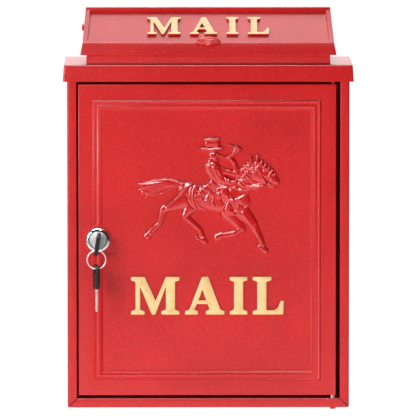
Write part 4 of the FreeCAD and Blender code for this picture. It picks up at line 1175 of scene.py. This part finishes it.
def make_floor():
    """The box hangs above a pale floor that reaches further in front of it than behind it."""
    side = 2.6
    front = -5.5
    drop = 0.42
    level = cad_box[0].z - drop
    mesh = bpy.data.meshes.new("floor")
    mesh.from_pydata([(-side, front, level), (side, front, level), (side, side, level), (-side, side, level)],
                     [], [(0, 1, 2, 3)])
    mesh.materials.append(pale_surface())
    floor = bpy.data.objects.new("floor", mesh)
    SCENE.collection.objects.link(floor)


def make_world():
    """White surroundings for the camera; the light they give is dim in front and bright behind."""
    world = bpy.data.worlds.new("studio")
    SCENE.world = world
    recipe = Recipe(world, "Background", "Generated")
    split = recipe.nodes.new("ShaderNodeSeparateXYZ")
    recipe.link(recipe.coords, split.inputs["Vector"])
    light = recipe.ramp(split.outputs["Y"], (0.0, gray(0.03)), (0.45, gray(0.6)), (0.85, gray(1.46)))
    path = recipe.nodes.new("ShaderNodeLightPath")
    recipe.link(recipe.mix(path.outputs["Is Camera Ray"], light, gray(1.0)), recipe.inputs["Color"])
    recipe.inputs["Strength"].default_value = 1.0


def area_light(name, offset, size_x, size_y, power, shape="RECTANGLE"):
    """A light at an offset from the box's middle, turned towards it."""
    middle = (cad_box[0] + cad_box[1]) / 2
    light = bpy.data.lights.new(name, "AREA")
    light.shape = shape
    light.size = size_x
    light.size_y = size_y
    light.energy = power
    holder = bpy.data.objects.new(name, light)
    holder.location = middle + Vector(offset)
    holder.rotation_euler = (middle - holder.location).to_track_quat("-Z", "Y").to_euler()
    holder.visible_camera = False
    SCENE.collection.objects.link(holder)
    return holder


def make_lights():
    area_light("overhead", (0.0, 0.42, 1.5), 2.4, 1.2, 31.0)
    area_light("key_left", (-1.35, -1.8, 0.55), 0.80, 0.80, 27.0, "DISK")
    card = area_light("low_card", (0.2, -1.25, -0.45), 2.4, 0.3, 11.5)
    card.visible_glossy = False
    glint = area_light("high_strip", (-0.35, -0.80, 1.64), 1.8, 0.40, 76.0)
    glint.visible_diffuse = False
    strip = area_light("side_strip", (-1.55, -1.35, 0.35), 0.30, 1.3, 14.0)
    strip.visible_diffuse = False


def make_camera():
    """Long lens in front of the box, a little above it, looking slightly down."""
    distance = 6.0
    camera = bpy.data.cameras.new("camera")
    camera.sensor_width = 36.0
    camera.lens = 487.7
    camera.shift_y = -0.1
    camera.clip_end = 300.0
    holder = bpy.data.objects.new("camera", camera)
    front, top = mm(0, -110.0, 370.2).yz
    holder.location = (-0.0465, front - distance, top + 0.5005)
    pitch = radians(5.80)
    yaw = radians(0.44)
    look = Vector((sin(yaw) * cos(pitch), cos(yaw) * cos(pitch), -sin(pitch)))
    holder.rotation_euler = look.to_track_quat("-Z", "Y").to_euler()
    SCENE.collection.objects.link(holder)
    SCENE.camera = holder


SCENE.view_settings.view_transform = "Standard"
make_floor()
make_world()
make_lights()
make_camera()
